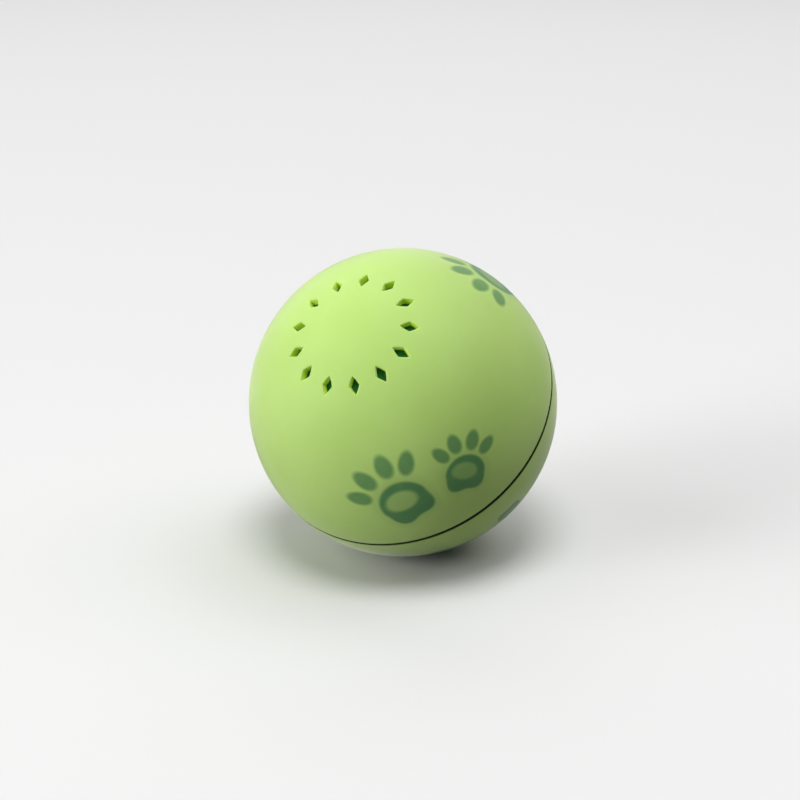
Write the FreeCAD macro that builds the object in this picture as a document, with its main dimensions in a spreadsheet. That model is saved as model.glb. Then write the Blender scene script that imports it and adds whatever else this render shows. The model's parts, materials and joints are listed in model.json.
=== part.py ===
# Self-rolling cat ball: a two-part plastic shell with a motorised pod that swings inside it.
#
# Every piece is drawn in the ball's own axle frame: +Z runs up the axle to the grille,
# -Y is the heavy side of the pod. One turn about X (axle_tilt) then lays each piece in the
# part's frame, whose origin is the ball's centre, with +Z up and the grille facing -Y and up.
# The axle stands still in the lower shell. A motor in the pod drives the axle through three
# pairs of gears, so the pod climbs inside the shell and its weight makes the ball roll.
import FreeCAD
import Part
import Sketcher
import math
import os

Vector = FreeCAD.Vector
Constraint = Sketcher.Constraint

# Driving sizes, in millimetres and degrees
driving_sizes = {
    "axle_tilt": 45,
    # shell
    "shell_wall": 2.0,
    "seam_gap": 0.7,
    "seam_round": 0.4,
    "collar_inset": 2.4,
    "collar_wall": 1.4,
    "collar_height": 9.0,
    "collar_root": 3.5,
    "collar_bevel": 0.5,
    "lug_height": 0.9,
    "lug_root": 1.5,
    "lug_tip": 0.8,
    "lug_lead": 30,
    "lug_count": 4,
    "base_lug_turns": 0.14,
    "lid_lug_turns": 0.11,
    "lug_centre": 3.9,
    "lug_play": 0.3,
    "lug_sink": 0.3,
    "seal_section": 0.65,
    "seal_play": 0.05,
    "seal_drop": 0.45,
    "land_relief": 0.5,
    "land_slope": 0.4,
    # ring of diamond slots in the upper shell
    "slot_count": 13,
    "ring_angle": 21.7,
    "ring_start": 16.3,
    "slot_length": 4.6,
    "slot_width": 2.6,
    "slot_corner": 0.3,
    "slot_edge": 0.3,
    # axle and what carries it
    "axle_radius": 1.5,
    "axle_flat": 1.08,
    "axle_bevel": 0.4,
    "axle_end_gap": 3.6,
    "axle_end_play": 0.4,
    "keyed_play": 0.02,
    "running_play": 0.04,
    "hub_radius": 9.0,
    "hub_flare": 1.2,
    "hub_screw_orbit": 6.2,
    "rib_thickness": 1.2,
    "rib_count": 6,
    "rib_drop": 0.5,
    "rib_sink": 0.6,
    "rib_slope": 4.0,
    "socket_step": 0.6,
    "socket_flange": 2.0,
    "socket_radius": 3.8,
    "socket_length": 3.0,
    "washer_thickness": 0.9,
    "end_play": 0.25,
    "bush_radius": 2.8,
    "bush_rim_radius": 4.2,
    "bush_flange": 1.0,
    "bush_lead": 0.4,
    "clip_thickness": 0.6,
    "clip_radius": 3.0,
    "clip_mouth": 0.7,
    "clip_depth": 0.35,
    "end_bush_flats": 8.0,
    "end_bush_length": 3.4,
    "end_bush_flange": 1.0,
    "end_bush_rim": 1.2,
    "end_bush_play": 0.12,
    "lid_boss_wall": 1.85,
    "lid_boss_flare": 0.8,
    "lid_boss_play": 0.3,
    # gears
    "gear_module": 0.5,
    "pinion_teeth": 10,
    "wheel_teeth": 36,
    "output_teeth": 42,
    "gear_width": 2.5,
    "output_width": 3.0,
    "gear_backlash": 0.12,
    "gear_gap": 0.4,
    "gear_lift": 0.5,
    "gear_headroom": 0.7,
    "gear_slack": 0.2,
    "gear_hub_radius": 1.5,
    "gear_pin_radius": 0.75,
    # pod
    "pod_swing": 1.8,
    "deck_thickness": 1.6,
    "deck_play": 3.2,
    "skirt_depth": 6.5,
    "skirt_wall": 1.4,
    "bridge_radius": 28.0,
    "bridge_thickness": 1.6,
    "bridge_chord": 7.5,
    "bridge_boss": 1.0,
    "bridge_boss_radius": 5.0,
    "motor_window_radius": 5.5,
    "lead_window_orbit": 20.0,
    "lead_window_radius": 3.2,
    "lead_hole_orbit": 27.0,
    "lead_hole_radius": 1.6,
    "pillar_radius": 2.0,
    "pillar_orbit": 25.0,
    "near_pillar_orbit": 15.5,
    "cell_length": 44.5,
    "cell_radius": 5.25,
    "cell_orbit": 18.6,
    "cell_spread": 38,
    "cell_play": 0.25,
    "bay_wall": 1.2,
    "bay_drop": 0.5,
    "cell_nub": 0.9,
    "cell_nub_radius": 1.9,
    "spring_height": 3.0,
    "spring_width": 4.0,
    "spring_strip": 0.4,
    "spring_half_span": 4.2,
    "contact_thickness": 0.4,
    "floor_thickness": 1.6,
    "floor_step": 0.37,
    "floor_boss_drop": 0.6,
    "floor_boss_rise": 1.8,
    "floor_window_orbit": 14.5,
    "floor_window_radius": 4.2,
    "door_thickness": 1.6,
    "door_screw_orbit": 10.1,
    "door_boss_radius": 2.3,
    "post_radius": 2.6,
    "first_post_orbit": 21.7,
    "second_post_orbit": 22.1,
    "third_post_orbit": 21.9,
    "motor_radius": 10.05,
    "motor_flats": 15.1,
    "motor_length": 25.0,
    "motor_cap": 4.0,
    "motor_cap_step": 0.3,
    "motor_boss_radius": 3.0,
    "motor_boss": 1.4,
    "motor_tail": 1.2,
    "motor_screw_spacing": 5.0,
    "motor_screw_depth": 2.2,
    "terminal_length": 3.0,
    "terminal_spacing": 6.5,
    "terminal_half_width": 1.0,
    "terminal_half_thickness": 0.25,
    "motor_clearance": 1.05,
    "motor_orbit": 14.2,
    "motor_angle": 135,
    "second_wheel_angle": 39.4,
    "motor_shaft_radius": 1.0,
    "ballast_play": 2.0,
    "ballast_lift": 3.15,
    "ballast_height": 12.5,
    "ballast_bevel": 1.2,
    "ballast_sweep": 110,
    "rail_thickness": 1.2,
    "rail_reach": 2.2,
    "rail_sink": 0.4,
    "rail_end": 6,
    "board_lift": 3.4,
    "board_thickness": 1.0,
    "board_radius": 24.0,
    "board_chord": 6.3,
    "board_hole": 5.6,
    "standoff_radius": 2.0,
    "standoff_orbit": 21.0,
    "third_standoff_orbit": 20.6,
    "speaker_orbit": 15.2,
    "speaker_radius": 7.8,
    "speaker_height": 3.4,
    "speaker_well": 1.8,
    "speaker_rim": 0.9,
    "cone_edge": 0.6,
    "cone_play": 0.1,
    "cone_dome_radius": 2.6,
    "cone_dome": 0.8,
    "chip_orbit": 14.5,
    "chip_half_length": 3.4,
    "chip_half_width": 2.0,
    "chip_lift": 0.3,
    "chip_thickness": 1.6,
    "leg_pitch": 1.5,
    "leg_half_width": 0.3,
    "leg_reach": 1.0,
    "leg_height": 0.9,
    "capacitor_orbit": 18.6,
    "capacitor_radius": 2.5,
    "capacitor_height": 4.6,
    "sensor_orbit": 17.5,
    "sensor_radius": 2.1,
    "sensor_height": 4.4,
    "switch_orbit": 13.4,
    "switch_half_length": 4.3,
    "switch_half_width": 1.9,
    "switch_height": 3.0,
    "switch_wall": 1.0,
    "switch_play": 0.3,
    "switch_floor": 1.4,
    "slider_half_length": 1.1,
    "slider_lift": 0.15,
    "slider_top": 1.8,
    "screw_radius": 0.95,
    "screw_head_radius": 1.9,
    "screw_head_height": 1.2,
    "screw_length": 5.0,
    "screw_play": 0.05,
    "thread_play": 0.02,
    "switch_travel": 2.0,
}

document = FreeCAD.newDocument("cat_ball")
sheet = document.addObject("Spreadsheet::Sheet", "sizes")
for row, (alias, number) in enumerate(driving_sizes.items(), 1):
    sheet.set(f"A{row}", str(number))
    sheet.setAlias(f"A{row}", alias)
document.recompute()


def value(expression):
    """The number that an expression on the sheet's sizes gives."""
    return float(sheet.evalExpression(str(expression)))


# Sizes that follow from the driving ones, as expressions on the sheet. The shell follows its
# contents: three cells on end set the pod's length, and the pod's floor, which swings nearest
# to the wall, sets the ball.
bay_half = "(sizes.cell_radius + sizes.cell_play + sizes.bay_wall)"
bay_far = f"(sizes.cell_orbit + {bay_half})"
bay_length = "(sizes.cell_length + sizes.spring_height + 2 * sizes.contact_thickness)"
floor_top = f"(-sizes.bay_drop - {bay_length} / 2)"
floor_bottom = f"({floor_top} - sizes.floor_thickness)"
floor_radius = f"({bay_far} - sizes.floor_step)"
bay_top = f"({bay_length} / 2 - sizes.bay_drop)"
inner = f"(sqrt({floor_radius}^2 + {floor_bottom}^2) + sizes.pod_swing)"
outer = f"({inner} + sizes.shell_wall)"
half_gap = "(sizes.seam_gap / 2)"
collar_outer = f"({inner} - sizes.collar_inset)"
collar_inner = f"({collar_outer} - sizes.collar_wall)"
land = f"({collar_outer} + sizes.lug_height + sizes.lug_play)"
land_top = "(sizes.collar_height + sizes.land_relief)"
floor_boss_bottom = f"({floor_bottom} - sizes.floor_boss_drop)"
floor_boss_top = f"({floor_top} + sizes.floor_boss_rise)"
low_bush_bottom = f"({floor_boss_bottom} - sizes.bush_flange)"
washer_top = f"({low_bush_bottom} - sizes.end_play)"
socket_top = f"({washer_top} - sizes.washer_thickness)"
flange_top = f"({socket_top} - sizes.socket_length)"
hub_top = f"({flange_top} - sizes.socket_flange)"
terminal_bottom = f"({floor_top} + sizes.motor_clearance)"
motor_bottom = f"({terminal_bottom} + sizes.terminal_length)"
deck_bottom = f"({motor_bottom} + sizes.motor_length)"
deck_top = f"({deck_bottom} + sizes.deck_thickness)"
deck_radius = f"({collar_inner} - sizes.deck_play)"
layer_c = f"({deck_top} + sizes.gear_lift)"
layer_c_top = f"({layer_c} + sizes.gear_width)"
layer_b = f"({layer_c_top} + sizes.gear_gap)"
layer_b_top = f"({layer_b} + sizes.gear_width)"
layer_a = f"({layer_b_top} + sizes.gear_gap)"
layer_a_top = f"({layer_a} + sizes.output_width)"
bridge_bottom = f"({layer_a_top} + sizes.gear_headroom)"
bridge_top = f"({bridge_bottom} + sizes.bridge_thickness)"
bridge_boss_top = f"({bridge_top} + sizes.bridge_boss)"
high_bush_top = f"({bridge_boss_top} + sizes.bush_flange)"
board_bottom = f"({bridge_top} + sizes.board_lift)"
board_top = f"({board_bottom} + sizes.board_thickness)"
bush_bore = "(sizes.axle_radius + sizes.running_play)"
keyed_bore = "(sizes.axle_radius + sizes.keyed_play)"
axle_top = f"({inner} - sizes.axle_end_gap)"
end_bush_top = f"({axle_top} + sizes.axle_end_play)"
end_bush_hex = f"({end_bush_top} - sizes.end_bush_length)"
end_bush_bottom = f"({end_bush_hex} - sizes.end_bush_flange)"
hex_corner = "((sizes.end_bush_flats / 2 + sizes.end_bush_play) / cos(30))"
lid_boss_radius = f"({hex_corner} + sizes.lid_boss_wall)"
lid_boss_bottom = f"({end_bush_hex} + sizes.lid_boss_play)"
recess_top = f"({end_bush_top} + sizes.lid_boss_play)"
ballast_outer = f"({inner} - sizes.ballast_play)"
ballast_low = f"({floor_top} + sizes.ballast_lift)"
ballast_high = f"({ballast_low} + sizes.ballast_height)"
screw_hole = "(sizes.screw_radius + sizes.screw_play)"
pilot_hole = "(sizes.screw_radius + sizes.thread_play)"

# Places in plan, as (radius, angle) about the axle
pillars = [("sizes.pillar_orbit", "112"), ("sizes.pillar_orbit", "30")]
pillars += [("sizes.near_pillar_orbit", "195"), ("sizes.near_pillar_orbit", "-15")]
posts = [("sizes.first_post_orbit", "19"), ("sizes.second_post_orbit", "185")]
posts += [("sizes.third_post_orbit", "79")]
standoffs = [("sizes.standoff_orbit", "62"), ("sizes.standoff_orbit", "152")]
standoffs += [("sizes.third_standoff_orbit", "-9")]
hub_screws = [("sizes.hub_screw_orbit", angle) for angle in ("30", "150", "270")]
cells = [("sizes.cell_orbit", f"(-90 + {turn} * sizes.cell_spread)") for turn in (-1, 0, 1)]
motor_place = ("sizes.motor_orbit", "sizes.motor_angle")
door_screw_place = ("sizes.door_screw_orbit", "-90")


def polar(place):
    """X and Y, as expressions, of a place given by radius and angle."""
    radius, angle = place
    return f"({radius}) * cos({angle})", f"({radius}) * sin({angle})"


def sub_part(label, kind="PartDesign::Body"):
    """A new sub-part, laid over by the axle's tilt."""
    part = document.addObject(kind, label)
    part.Label = label
    part.Placement = FreeCAD.Placement(Vector(), FreeCAD.Rotation(Vector(1, 0, 0), 1))
    part.setExpression("Placement.Rotation.Angle", "sizes.axle_tilt")
    return part


def origin_plane(body, role):
    return next(feature for feature in body.Origin.OriginFeatures if feature.Role == role)


def sketch_on(body, plane, height="0"):
    """A sketch on one of the body's own planes, lifted along its normal."""
    sketch = body.newObject("Sketcher::SketchObject", f"{body.Name}_outline")
    sketch.AttachmentSupport = [(origin_plane(body, plane), "")]
    sketch.MapMode = "FlatFace"
    sketch.setExpression("AttachmentOffset.Base.z", height)
    return sketch


def bind(sketch, kind, *where, to):
    """A constraint whose size follows an expression."""
    index = sketch.addConstraint(Constraint(kind, *where, value(to)))
    sketch.setExpression(f"Constraints[{index}]", str(to))


def draw_circle(sketch, x, y, radius):
    centre = Vector(value(x), value(y), 0)
    ring = sketch.addGeometry(Part.Circle(centre, Vector(0, 0, 1), value(radius)))
    bind(sketch, "DistanceX", -1, 1, ring, 3, to=x)
    bind(sketch, "DistanceY", -1, 1, ring, 3, to=y)
    bind(sketch, "Radius", ring, to=radius)


def arc_between(start, end, radius, side):
    """The short arc from start to end, bulging to the right (1) or the left (-1)."""
    chord = end - start
    middle = (start + end) * 0.5
    left = Vector(-chord.y, chord.x, 0).normalize()
    reach = math.sqrt(max(radius**2 - (chord.Length / 2) ** 2, 0))
    centre = middle + left * (reach * side)
    first, last = (start, end) if side == 1 else (end, start)
    angles = [math.atan2(point.y - centre.y, point.x - centre.x) for point in (first, last)]
    return Part.ArcOfCircle(Part.Circle(centre, Vector(0, 0, 1), radius), *angles)


def draw_loop(sketch, corners):
    """A closed outline. A corner is (x, y), or (x, y, radius, side) where an arc follows it."""
    points = [Vector(value(corner[0]), value(corner[1]), 0) for corner in corners]
    edges = []
    for index, corner in enumerate(corners):
        start, end = points[index], points[(index + 1) % len(points)]
        if len(corner) == 2:
            edges.append((sketch.addGeometry(Part.LineSegment(start, end)), 1, 2))
            continue
        radius, side = corner[2:]
        arc = sketch.addGeometry(arc_between(start, end, value(radius), side))
        edges.append((arc, 1, 2) if side == 1 else (arc, 2, 1))
    for index, (edge, start, end) in enumerate(edges):
        following = edges[(index + 1) % len(edges)]
        sketch.addConstraint(Constraint("Coincident", edge, end, following[0], following[1]))
    for (edge, start, end), corner in zip(edges, corners):
        bind(sketch, "DistanceX", -1, 1, edge, start, to=corner[0])
        bind(sketch, "DistanceY", -1, 1, edge, start, to=corner[1])
        if len(corner) > 2:
            bind(sketch, "Radius", edge, to=corner[2])


def draw(sketch, shapes):
    """Circles, as ("circle", x, y, radius), and closed outlines, as lists of corners."""
    for shape in shapes:
        if shape[0] == "circle":
            draw_circle(sketch, *shape[1:])
        else:
            draw_loop(sketch, shape)


def circle(place, radius):
    return ("circle", *polar(place), radius)


def circles(places, radius):
    return [circle(place, radius) for place in places]


def disc(radius):
    return ("circle", "0", "0", radius)


def slab(body, shapes, bottom, top):
    """Adds a plate with the given outlines between two heights."""
    sketch = sketch_on(body, "XY_Plane", bottom)
    draw(sketch, shapes)
    feature = body.newObject("PartDesign::Pad", f"{body.Name}_pad")
    feature.Profile = sketch
    feature.setExpression("Length", f"{top} - ({bottom})")
    return feature


def cut(body, shapes, bottom, top):
    """Cuts the given outlines away between two heights."""
    sketch = sketch_on(body, "XY_Plane", top)
    draw(sketch, shapes)
    feature = body.newObject("PartDesign::Pocket", f"{body.Name}_cut")
    feature.Profile = sketch
    feature.setExpression("Length", f"{top} - ({bottom})")
    return feature


def turned(body, profile, plane="XZ_Plane", sweep="360", kind="Revolution"):
    """Adds (Revolution) or cuts (Groove) a profile turned about the axle."""
    sketch = sketch_on(body, plane)
    draw(sketch, [profile])
    feature = body.newObject(f"PartDesign::{kind}", f"{body.Name}_turned")
    feature.Profile = sketch
    feature.ReferenceAxis = (sketch, ["V_Axis"])
    feature.Midplane = sweep != "360"
    feature.setExpression("Angle", sweep)
    return feature


def around(body, feature, count):
    """Repeats a feature evenly about the axle."""
    pattern = body.newObject("PartDesign::PolarPattern", f"{body.Name}_pattern")
    pattern.Originals = [feature]
    pattern.Axis = (origin_plane(body, "Z_Axis"), [""])
    pattern.Angle = 360
    pattern.setExpression("Occurrences", count)
    body.Tip = pattern
    document.recompute()
    return pattern


def round_edges(body, base, chosen, radius):
    """Rounds the edges of the base for which chosen(edge) holds."""
    return dress_edges(body, base, chosen, "Fillet", "Radius", radius)


def bevel_edges(body, base, chosen, size):
    """Bevels the edges of the base for which chosen(edge) holds."""
    return dress_edges(body, base, chosen, "Chamfer", "Size", size)


def dress_edges(body, base, chosen, kind, measure, size):
    document.recompute()
    names = [f"Edge{n}" for n, edge in enumerate(base.Shape.Edges, 1) if chosen(edge)]
    feature = body.newObject(f"PartDesign::{kind}", f"{body.Name}_{kind.lower()}")
    feature.Base = (base, names)
    feature.setExpression(measure, size)
    document.recompute()
    return feature


def set_shape(label, shape, place=Vector()):
    """A sub-part whose shape is worked out here, set at a place and laid over by the tilt."""
    part = document.addObject("Part::Feature", label)
    part.Label = label
    part.Shape = shape
    tilt = FreeCAD.Rotation(Vector(1, 0, 0), value("sizes.axle_tilt"))
    part.Placement = FreeCAD.Placement(tilt.multVec(place), tilt)
    return part


def on_sphere(radius, height):
    """The distance from the axle of a point at a height on a sphere."""
    return f"sqrt(({radius})^2 - ({height})^2)"


def helical_lugs(body, centre, turns, root, tip):
    """Helical ridges, evenly spaced, from their root radius to their tip radius."""
    sketch = sketch_on(body, "XZ_Plane")
    half_root, half_tip = "sizes.lug_root / 2", "sizes.lug_tip / 2"
    draw_loop(
        sketch,
        [
            (root, f"{centre} - {half_root}"),
            (tip, f"{centre} - {half_tip}"),
            (tip, f"{centre} + {half_tip}"),
            (root, f"{centre} + {half_root}"),
        ],
    )
    document.recompute()
    lug = body.newObject("PartDesign::AdditiveHelix", f"{body.Name}_lug")
    lug.Profile = sketch
    lug.ReferenceAxis = (sketch, ["V_Axis"])
    lug.Mode = "pitch-turns-angle"
    lug.Angle = 0
    lug.setExpression("Pitch", "sizes.lug_lead")
    lug.setExpression("Turns", turns)
    document.recompute()
    return around(body, lug, "sizes.lug_count")


# Lower shell: a plain half ball with the collar that the upper shell screws on to
def make_base_shell():
    body = sub_part("base_shell")
    rim = f"-{half_gap}"
    root = f"(-{half_gap} - sizes.collar_root)"
    taper_end = f"({root} - sizes.collar_inset - sizes.collar_wall)"
    groove_outer = f"({collar_outer} + 2 * sizes.seal_section + 3 * sizes.seal_play)"
    groove_floor = "(-sizes.seal_drop - sizes.seal_section - sizes.seal_play)"
    hub_foot = "(sizes.hub_radius - sizes.hub_flare)"
    turned(
        body,
        [
            ("0", f"-{outer}", outer, 1),
            (on_sphere(outer, rim), rim),
            (groove_outer, rim),
            (groove_outer, groove_floor),
            (collar_outer, groove_floor),
            (collar_outer, "sizes.collar_height - sizes.collar_bevel"),
            (f"{collar_outer} - sizes.collar_bevel", "sizes.collar_height"),
            (collar_inner, "sizes.collar_height"),
            (collar_inner, root),
            (on_sphere(inner, taper_end), taper_end, inner, -1),
            (hub_foot, f"-{on_sphere(inner, hub_foot)}"),
            ("sizes.hub_radius", hub_top),
            ("0", hub_top),
        ],
    )
    rib_top = f"({hub_top} - sizes.rib_drop)"
    rib_reach = f"({on_sphere(inner, rib_top)} + sizes.rib_sink)"
    rib_end = f"({rib_reach} - sizes.rib_slope)"
    rib_foot = f"({hub_foot} - sizes.rib_sink)"
    rib_depth = f"({inner} + sizes.rib_sink)"
    ribs = sketch_on(body, "XZ_Plane", "-sizes.rib_thickness / 2")
    draw_loop(
        ribs,
        [
            (rib_foot, rib_top),
            (rib_reach, rib_top),
            (rib_end, f"-{on_sphere(rib_depth, rib_end)}"),
            (rib_foot, f"-{on_sphere(rib_depth, rib_foot)}"),
        ],
    )
    document.recompute()
    rib = body.newObject("PartDesign::Pad", "rib")
    rib.Profile = ribs
    rib.setExpression("Length", "sizes.rib_thickness")
    document.recompute()
    around(body, rib, "sizes.rib_count")
    helical_lugs(
        body,
        "sizes.lug_centre",
        "sizes.base_lug_turns",
        f"{collar_outer} - sizes.lug_sink",
        f"{collar_outer} + sizes.lug_height",
    )
    pilots = circles(hub_screws, pilot_hole)
    cut(body, pilots, f"{flange_top} - sizes.screw_length - sizes.screw_play", hub_top)
    document.recompute()
    seam = value(f"{on_sphere(outer, rim)}")
    round_edges(
        body,
        body.Tip,
        lambda edge: abs(edge.BoundBox.ZMax - value(rim)) < 1e-4
        and abs(edge.BoundBox.XMax - seam) < 1e-4
        and edge.BoundBox.ZLength < 1e-4,
        "sizes.seam_round",
    )
    return body


# Upper shell: the half with the ring of diamond slots, and the boss that takes the axle's end
def make_grille_shell():
    body = sub_part("grille_shell")
    rim = half_gap
    slope_top = f"({land_top} + sizes.land_slope)"
    boss_foot = f"({lid_boss_radius} + sizes.lid_boss_flare)"
    turned(
        body,
        [
            ("0", outer, outer, -1),
            (on_sphere(outer, rim), rim),
            (land, rim),
            (land, land_top),
            (on_sphere(inner, slope_top), slope_top, inner, 1),
            (boss_foot, on_sphere(inner, boss_foot)),
            (lid_boss_radius, f"{on_sphere(inner, boss_foot)} - sizes.lid_boss_flare"),
            (lid_boss_radius, lid_boss_bottom),
            ("0", lid_boss_bottom),
        ],
    )
    document.recompute()
    recess = sketch_on(body, "XY_Plane", recess_top)
    draw_loop(recess, [polar((hex_corner, str(60 * side))) for side in range(6)])
    document.recompute()
    pocket = body.newObject("PartDesign::Pocket", "bush_recess")
    pocket.Profile = recess
    pocket.setExpression("Length", f"{recess_top} - {lid_boss_bottom}")
    document.recompute()
    centre = "(sizes.lug_centre - sizes.lug_root / 2 - sizes.lug_tip / 2 - sizes.lug_play * 2)"
    helical_lugs(
        body,
        centre,
        "sizes.lid_lug_turns",
        f"{land} + sizes.lug_sink",
        f"{collar_outer} + sizes.lug_play",
    )
    slot = diamond_slot(body)
    ring = around(body, slot, "sizes.slot_count")
    reach = value(outer)
    ring_edges = bevel_edges(
        body,
        ring,
        lambda edge: edge.BoundBox.ZMin > value(f"{outer} * 0.8")
        and all(abs(vertex.Point.Length - reach) < 1e-3 for vertex in edge.Vertexes),
        "sizes.slot_edge",
    )
    seam = value(f"{on_sphere(outer, rim)}")
    round_edges(
        body,
        ring_edges,
        lambda edge: abs(edge.BoundBox.ZMin - value(rim)) < 1e-4
        and abs(edge.BoundBox.XMax - seam) < 1e-4
        and edge.BoundBox.ZLength < 1e-4,
        "sizes.seam_round",
    )
    return body


def diamond_slot(body):
    """One slot, square to the surface, with its long diagonal along the radius of the ring."""
    sketch = body.newObject("Sketcher::SketchObject", "slot_outline")
    sketch.AttachmentSupport = [(origin_plane(body, "XY_Plane"), "")]
    sketch.MapMode = "FlatFace"
    turn = FreeCAD.Rotation(Vector(0, 0, 1), value("sizes.ring_start"))
    lean = FreeCAD.Rotation(Vector(0, 1, 0), value("sizes.ring_angle"))
    sketch.AttachmentOffset = FreeCAD.Placement(Vector(), turn * lean)
    sketch_height = f"({outer} + sizes.shell_wall)"
    ring_radius = f"{sketch_height} * sin(sizes.ring_angle)"
    sketch.setExpression("AttachmentOffset.Base.x", f"{ring_radius} * cos(sizes.ring_start)")
    sketch.setExpression("AttachmentOffset.Base.y", f"{ring_radius} * sin(sizes.ring_start)")
    sketch.setExpression("AttachmentOffset.Base.z", f"{sketch_height} * cos(sizes.ring_angle)")
    half_length, half_width = "(sizes.slot_length / 2)", "(sizes.slot_width / 2)"
    lean_angle = f"atan({half_width} / {half_length})"
    corner = "sizes.slot_corner"
    tip_y = f"({corner} * cos({lean_angle}))"
    side_x = f"({corner} * sin({lean_angle}))"
    tip_x = f"({half_length} - {corner} / sin({lean_angle}) + {side_x})"
    side_y = f"({half_width} - {corner} / cos({lean_angle}) + {tip_y})"
    draw_loop(
        sketch,
        [
            (tip_x, f"-{tip_y}", corner, 1),
            (tip_x, tip_y),
            (side_x, side_y, corner, 1),
            (f"-{side_x}", side_y),
            (f"-{tip_x}", tip_y, corner, 1),
            (f"-{tip_x}", f"-{tip_y}"),
            (f"-{side_x}", f"-{side_y}", corner, 1),
            (side_x, f"-{side_y}"),
        ],
    )
    document.recompute()
    slot = body.newObject("PartDesign::Pocket", "slot")
    slot.Profile = sketch
    slot.setExpression("Length", "sizes.shell_wall * 2.2")
    document.recompute()
    return slot


# Seal ring round the foot of the collar, in the groove of the lower shell
def make_seam_seal():
    seal = sub_part("seam_seal")
    near = f"({collar_outer} + sizes.seal_play)"
    far = f"({near} + 2 * sizes.seal_section)"
    low = "(-sizes.seal_drop - sizes.seal_section)"
    high = "(sizes.seal_section - sizes.seal_drop)"
    bevel = "sizes.seal_section * 0.6"
    turned(
        seal,
        [
            (near, low),
            (far, low),
            (far, f"{high} - {bevel}"),
            (f"{far} - {bevel}", high),
            (f"{near} + {bevel}", high),
            (near, f"{high} - {bevel}"),
        ],
    )


# A screw group: bevelled pan heads on shanks that run down (or up) from the head
def screws(label, places, seat, length="sizes.screw_length", upward=False):
    body = sub_part(label)
    height = "sizes.screw_head_height"
    if upward:
        head, crown = (f"{seat} - {height}", seat), f"{seat} - {height}"
        shank = (seat, f"{seat} + {length}")
    else:
        head, crown = (seat, f"{seat} + {height}"), f"{seat} + {height}"
        shank = (f"{seat} - {length}", seat)
    slab(body, circles(places, "sizes.screw_head_radius"), *head)
    slab(body, circles(places, "sizes.screw_radius"), *shank)
    bevel_edges(body, body.Tip, edge_at(crown), f"{height} / 3")


def edge_at(height):
    """Picks the level edges at a height."""
    level = value(height)
    return lambda edge: (
        abs(edge.BoundBox.ZMin - level) < 1e-5 and edge.BoundBox.ZLength < 1e-5
    )


# Drive: the hub in the lower shell holds the axle still, and the output gear sits on it
def make_drive():
    socket = sub_part("drive_socket")
    slab(socket, [disc("sizes.hub_radius - sizes.socket_step")], hub_top, flange_top)
    slab(socket, [disc("sizes.socket_radius")], flange_top, socket_top)
    cut(socket, circles(hub_screws, screw_hole), hub_top, flange_top)
    cut(socket, [axle_section(keyed_bore)], hub_top, socket_top)
    screws("drive_socket_screws", hub_screws, flange_top)

    axle = sub_part("axle")
    keyed_top = f"({socket_top} + sizes.end_play / 2)"
    keyed_bottom = f"({layer_a} - sizes.gear_gap / 2)"
    slab(axle, [axle_section("sizes.axle_radius")], hub_top, keyed_top)
    slab(axle, [disc("sizes.axle_radius")], keyed_top, keyed_bottom)
    slab(axle, [axle_section("sizes.axle_radius")], keyed_bottom, layer_a_top)
    slab(axle, [disc("sizes.axle_radius")], layer_a_top, axle_top)
    grooves = [f"{high_bush_top} + sizes.end_play", f"{end_bush_bottom} - sizes.clip_thickness"]
    ring = [disc("sizes.clip_radius"), disc("sizes.axle_radius - sizes.clip_depth")]
    for groove in grooves:
        cut(axle, ring, groove, f"{groove} + sizes.clip_thickness")
    document.recompute()
    bevel_edges(axle, axle.Tip, edge_at(axle_top), "sizes.axle_bevel")

    washer = sub_part("thrust_washer")
    slab(
        washer,
        [disc("sizes.socket_radius"), disc(bush_bore)],
        socket_top,
        washer_top,
    )

    clips = sub_part("axle_clips")
    for groove in grooves:
        slab(clips, [clip_outline()], groove, f"{groove} + sizes.clip_thickness")

    bush = sub_part("axle_end_bush")
    slab(bush, [disc("sizes.end_bush_flats / 2 + sizes.end_bush_rim")], end_bush_bottom, end_bush_hex)
    corner = "sizes.end_bush_flats / 2 / cos(30)"
    hexagon = [polar((corner, str(60 * side))) for side in range(6)]
    slab(bush, [hexagon], end_bush_hex, end_bush_top)
    cut(bush, [disc(bush_bore)], end_bush_bottom, f"{axle_top} + sizes.axle_end_play / 4")


def axle_section(radius):
    """A round section with one flat, which keys the axle."""
    flat = "sizes.axle_flat"
    return [
        (flat, f"sqrt(({radius})^2 - ({flat})^2)", radius, 1),
        ("0", radius, radius, 1),
        (f"-({radius})", "0", radius, 1),
        ("0", f"-({radius})", radius, 1),
        (flat, f"-sqrt(({radius})^2 - ({flat})^2)"),
    ]


def clip_outline():
    """A retaining clip: an open ring that snaps into the axle's groove."""
    hole = "(sizes.axle_radius - sizes.clip_depth + sizes.keyed_play)"
    rim = "sizes.clip_radius"
    mouth = "sizes.clip_mouth"
    rim_y, hole_y = f"sqrt(({rim})^2 - {mouth}^2)", f"sqrt({hole}^2 - {mouth}^2)"
    return [
        (mouth, rim_y),
        (mouth, hole_y, hole, -1),
        (hole, "0", hole, -1),
        ("0", f"-{hole}", hole, -1),
        (f"-{hole}", "0", hole, -1),
        (f"-{mouth}", hole_y),
        (f"-{mouth}", rim_y, rim, 1),
        (f"-({rim})", "0", rim, 1),
        ("0", f"-({rim})", rim, 1),
        (rim, "0", rim, 1),
    ]


# Gears: spur wheels with involute teeth, thinned by a little backlash
def involute_point(base, radius, turn, hand):
    """The point at a radius on an involute that leaves its base circle at an angle."""
    roll = math.sqrt(max((radius / base) ** 2 - 1, 0))
    angle = turn + hand * (roll - math.atan(roll))
    return Vector(radius * math.cos(angle), radius * math.sin(angle), 0)


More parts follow.
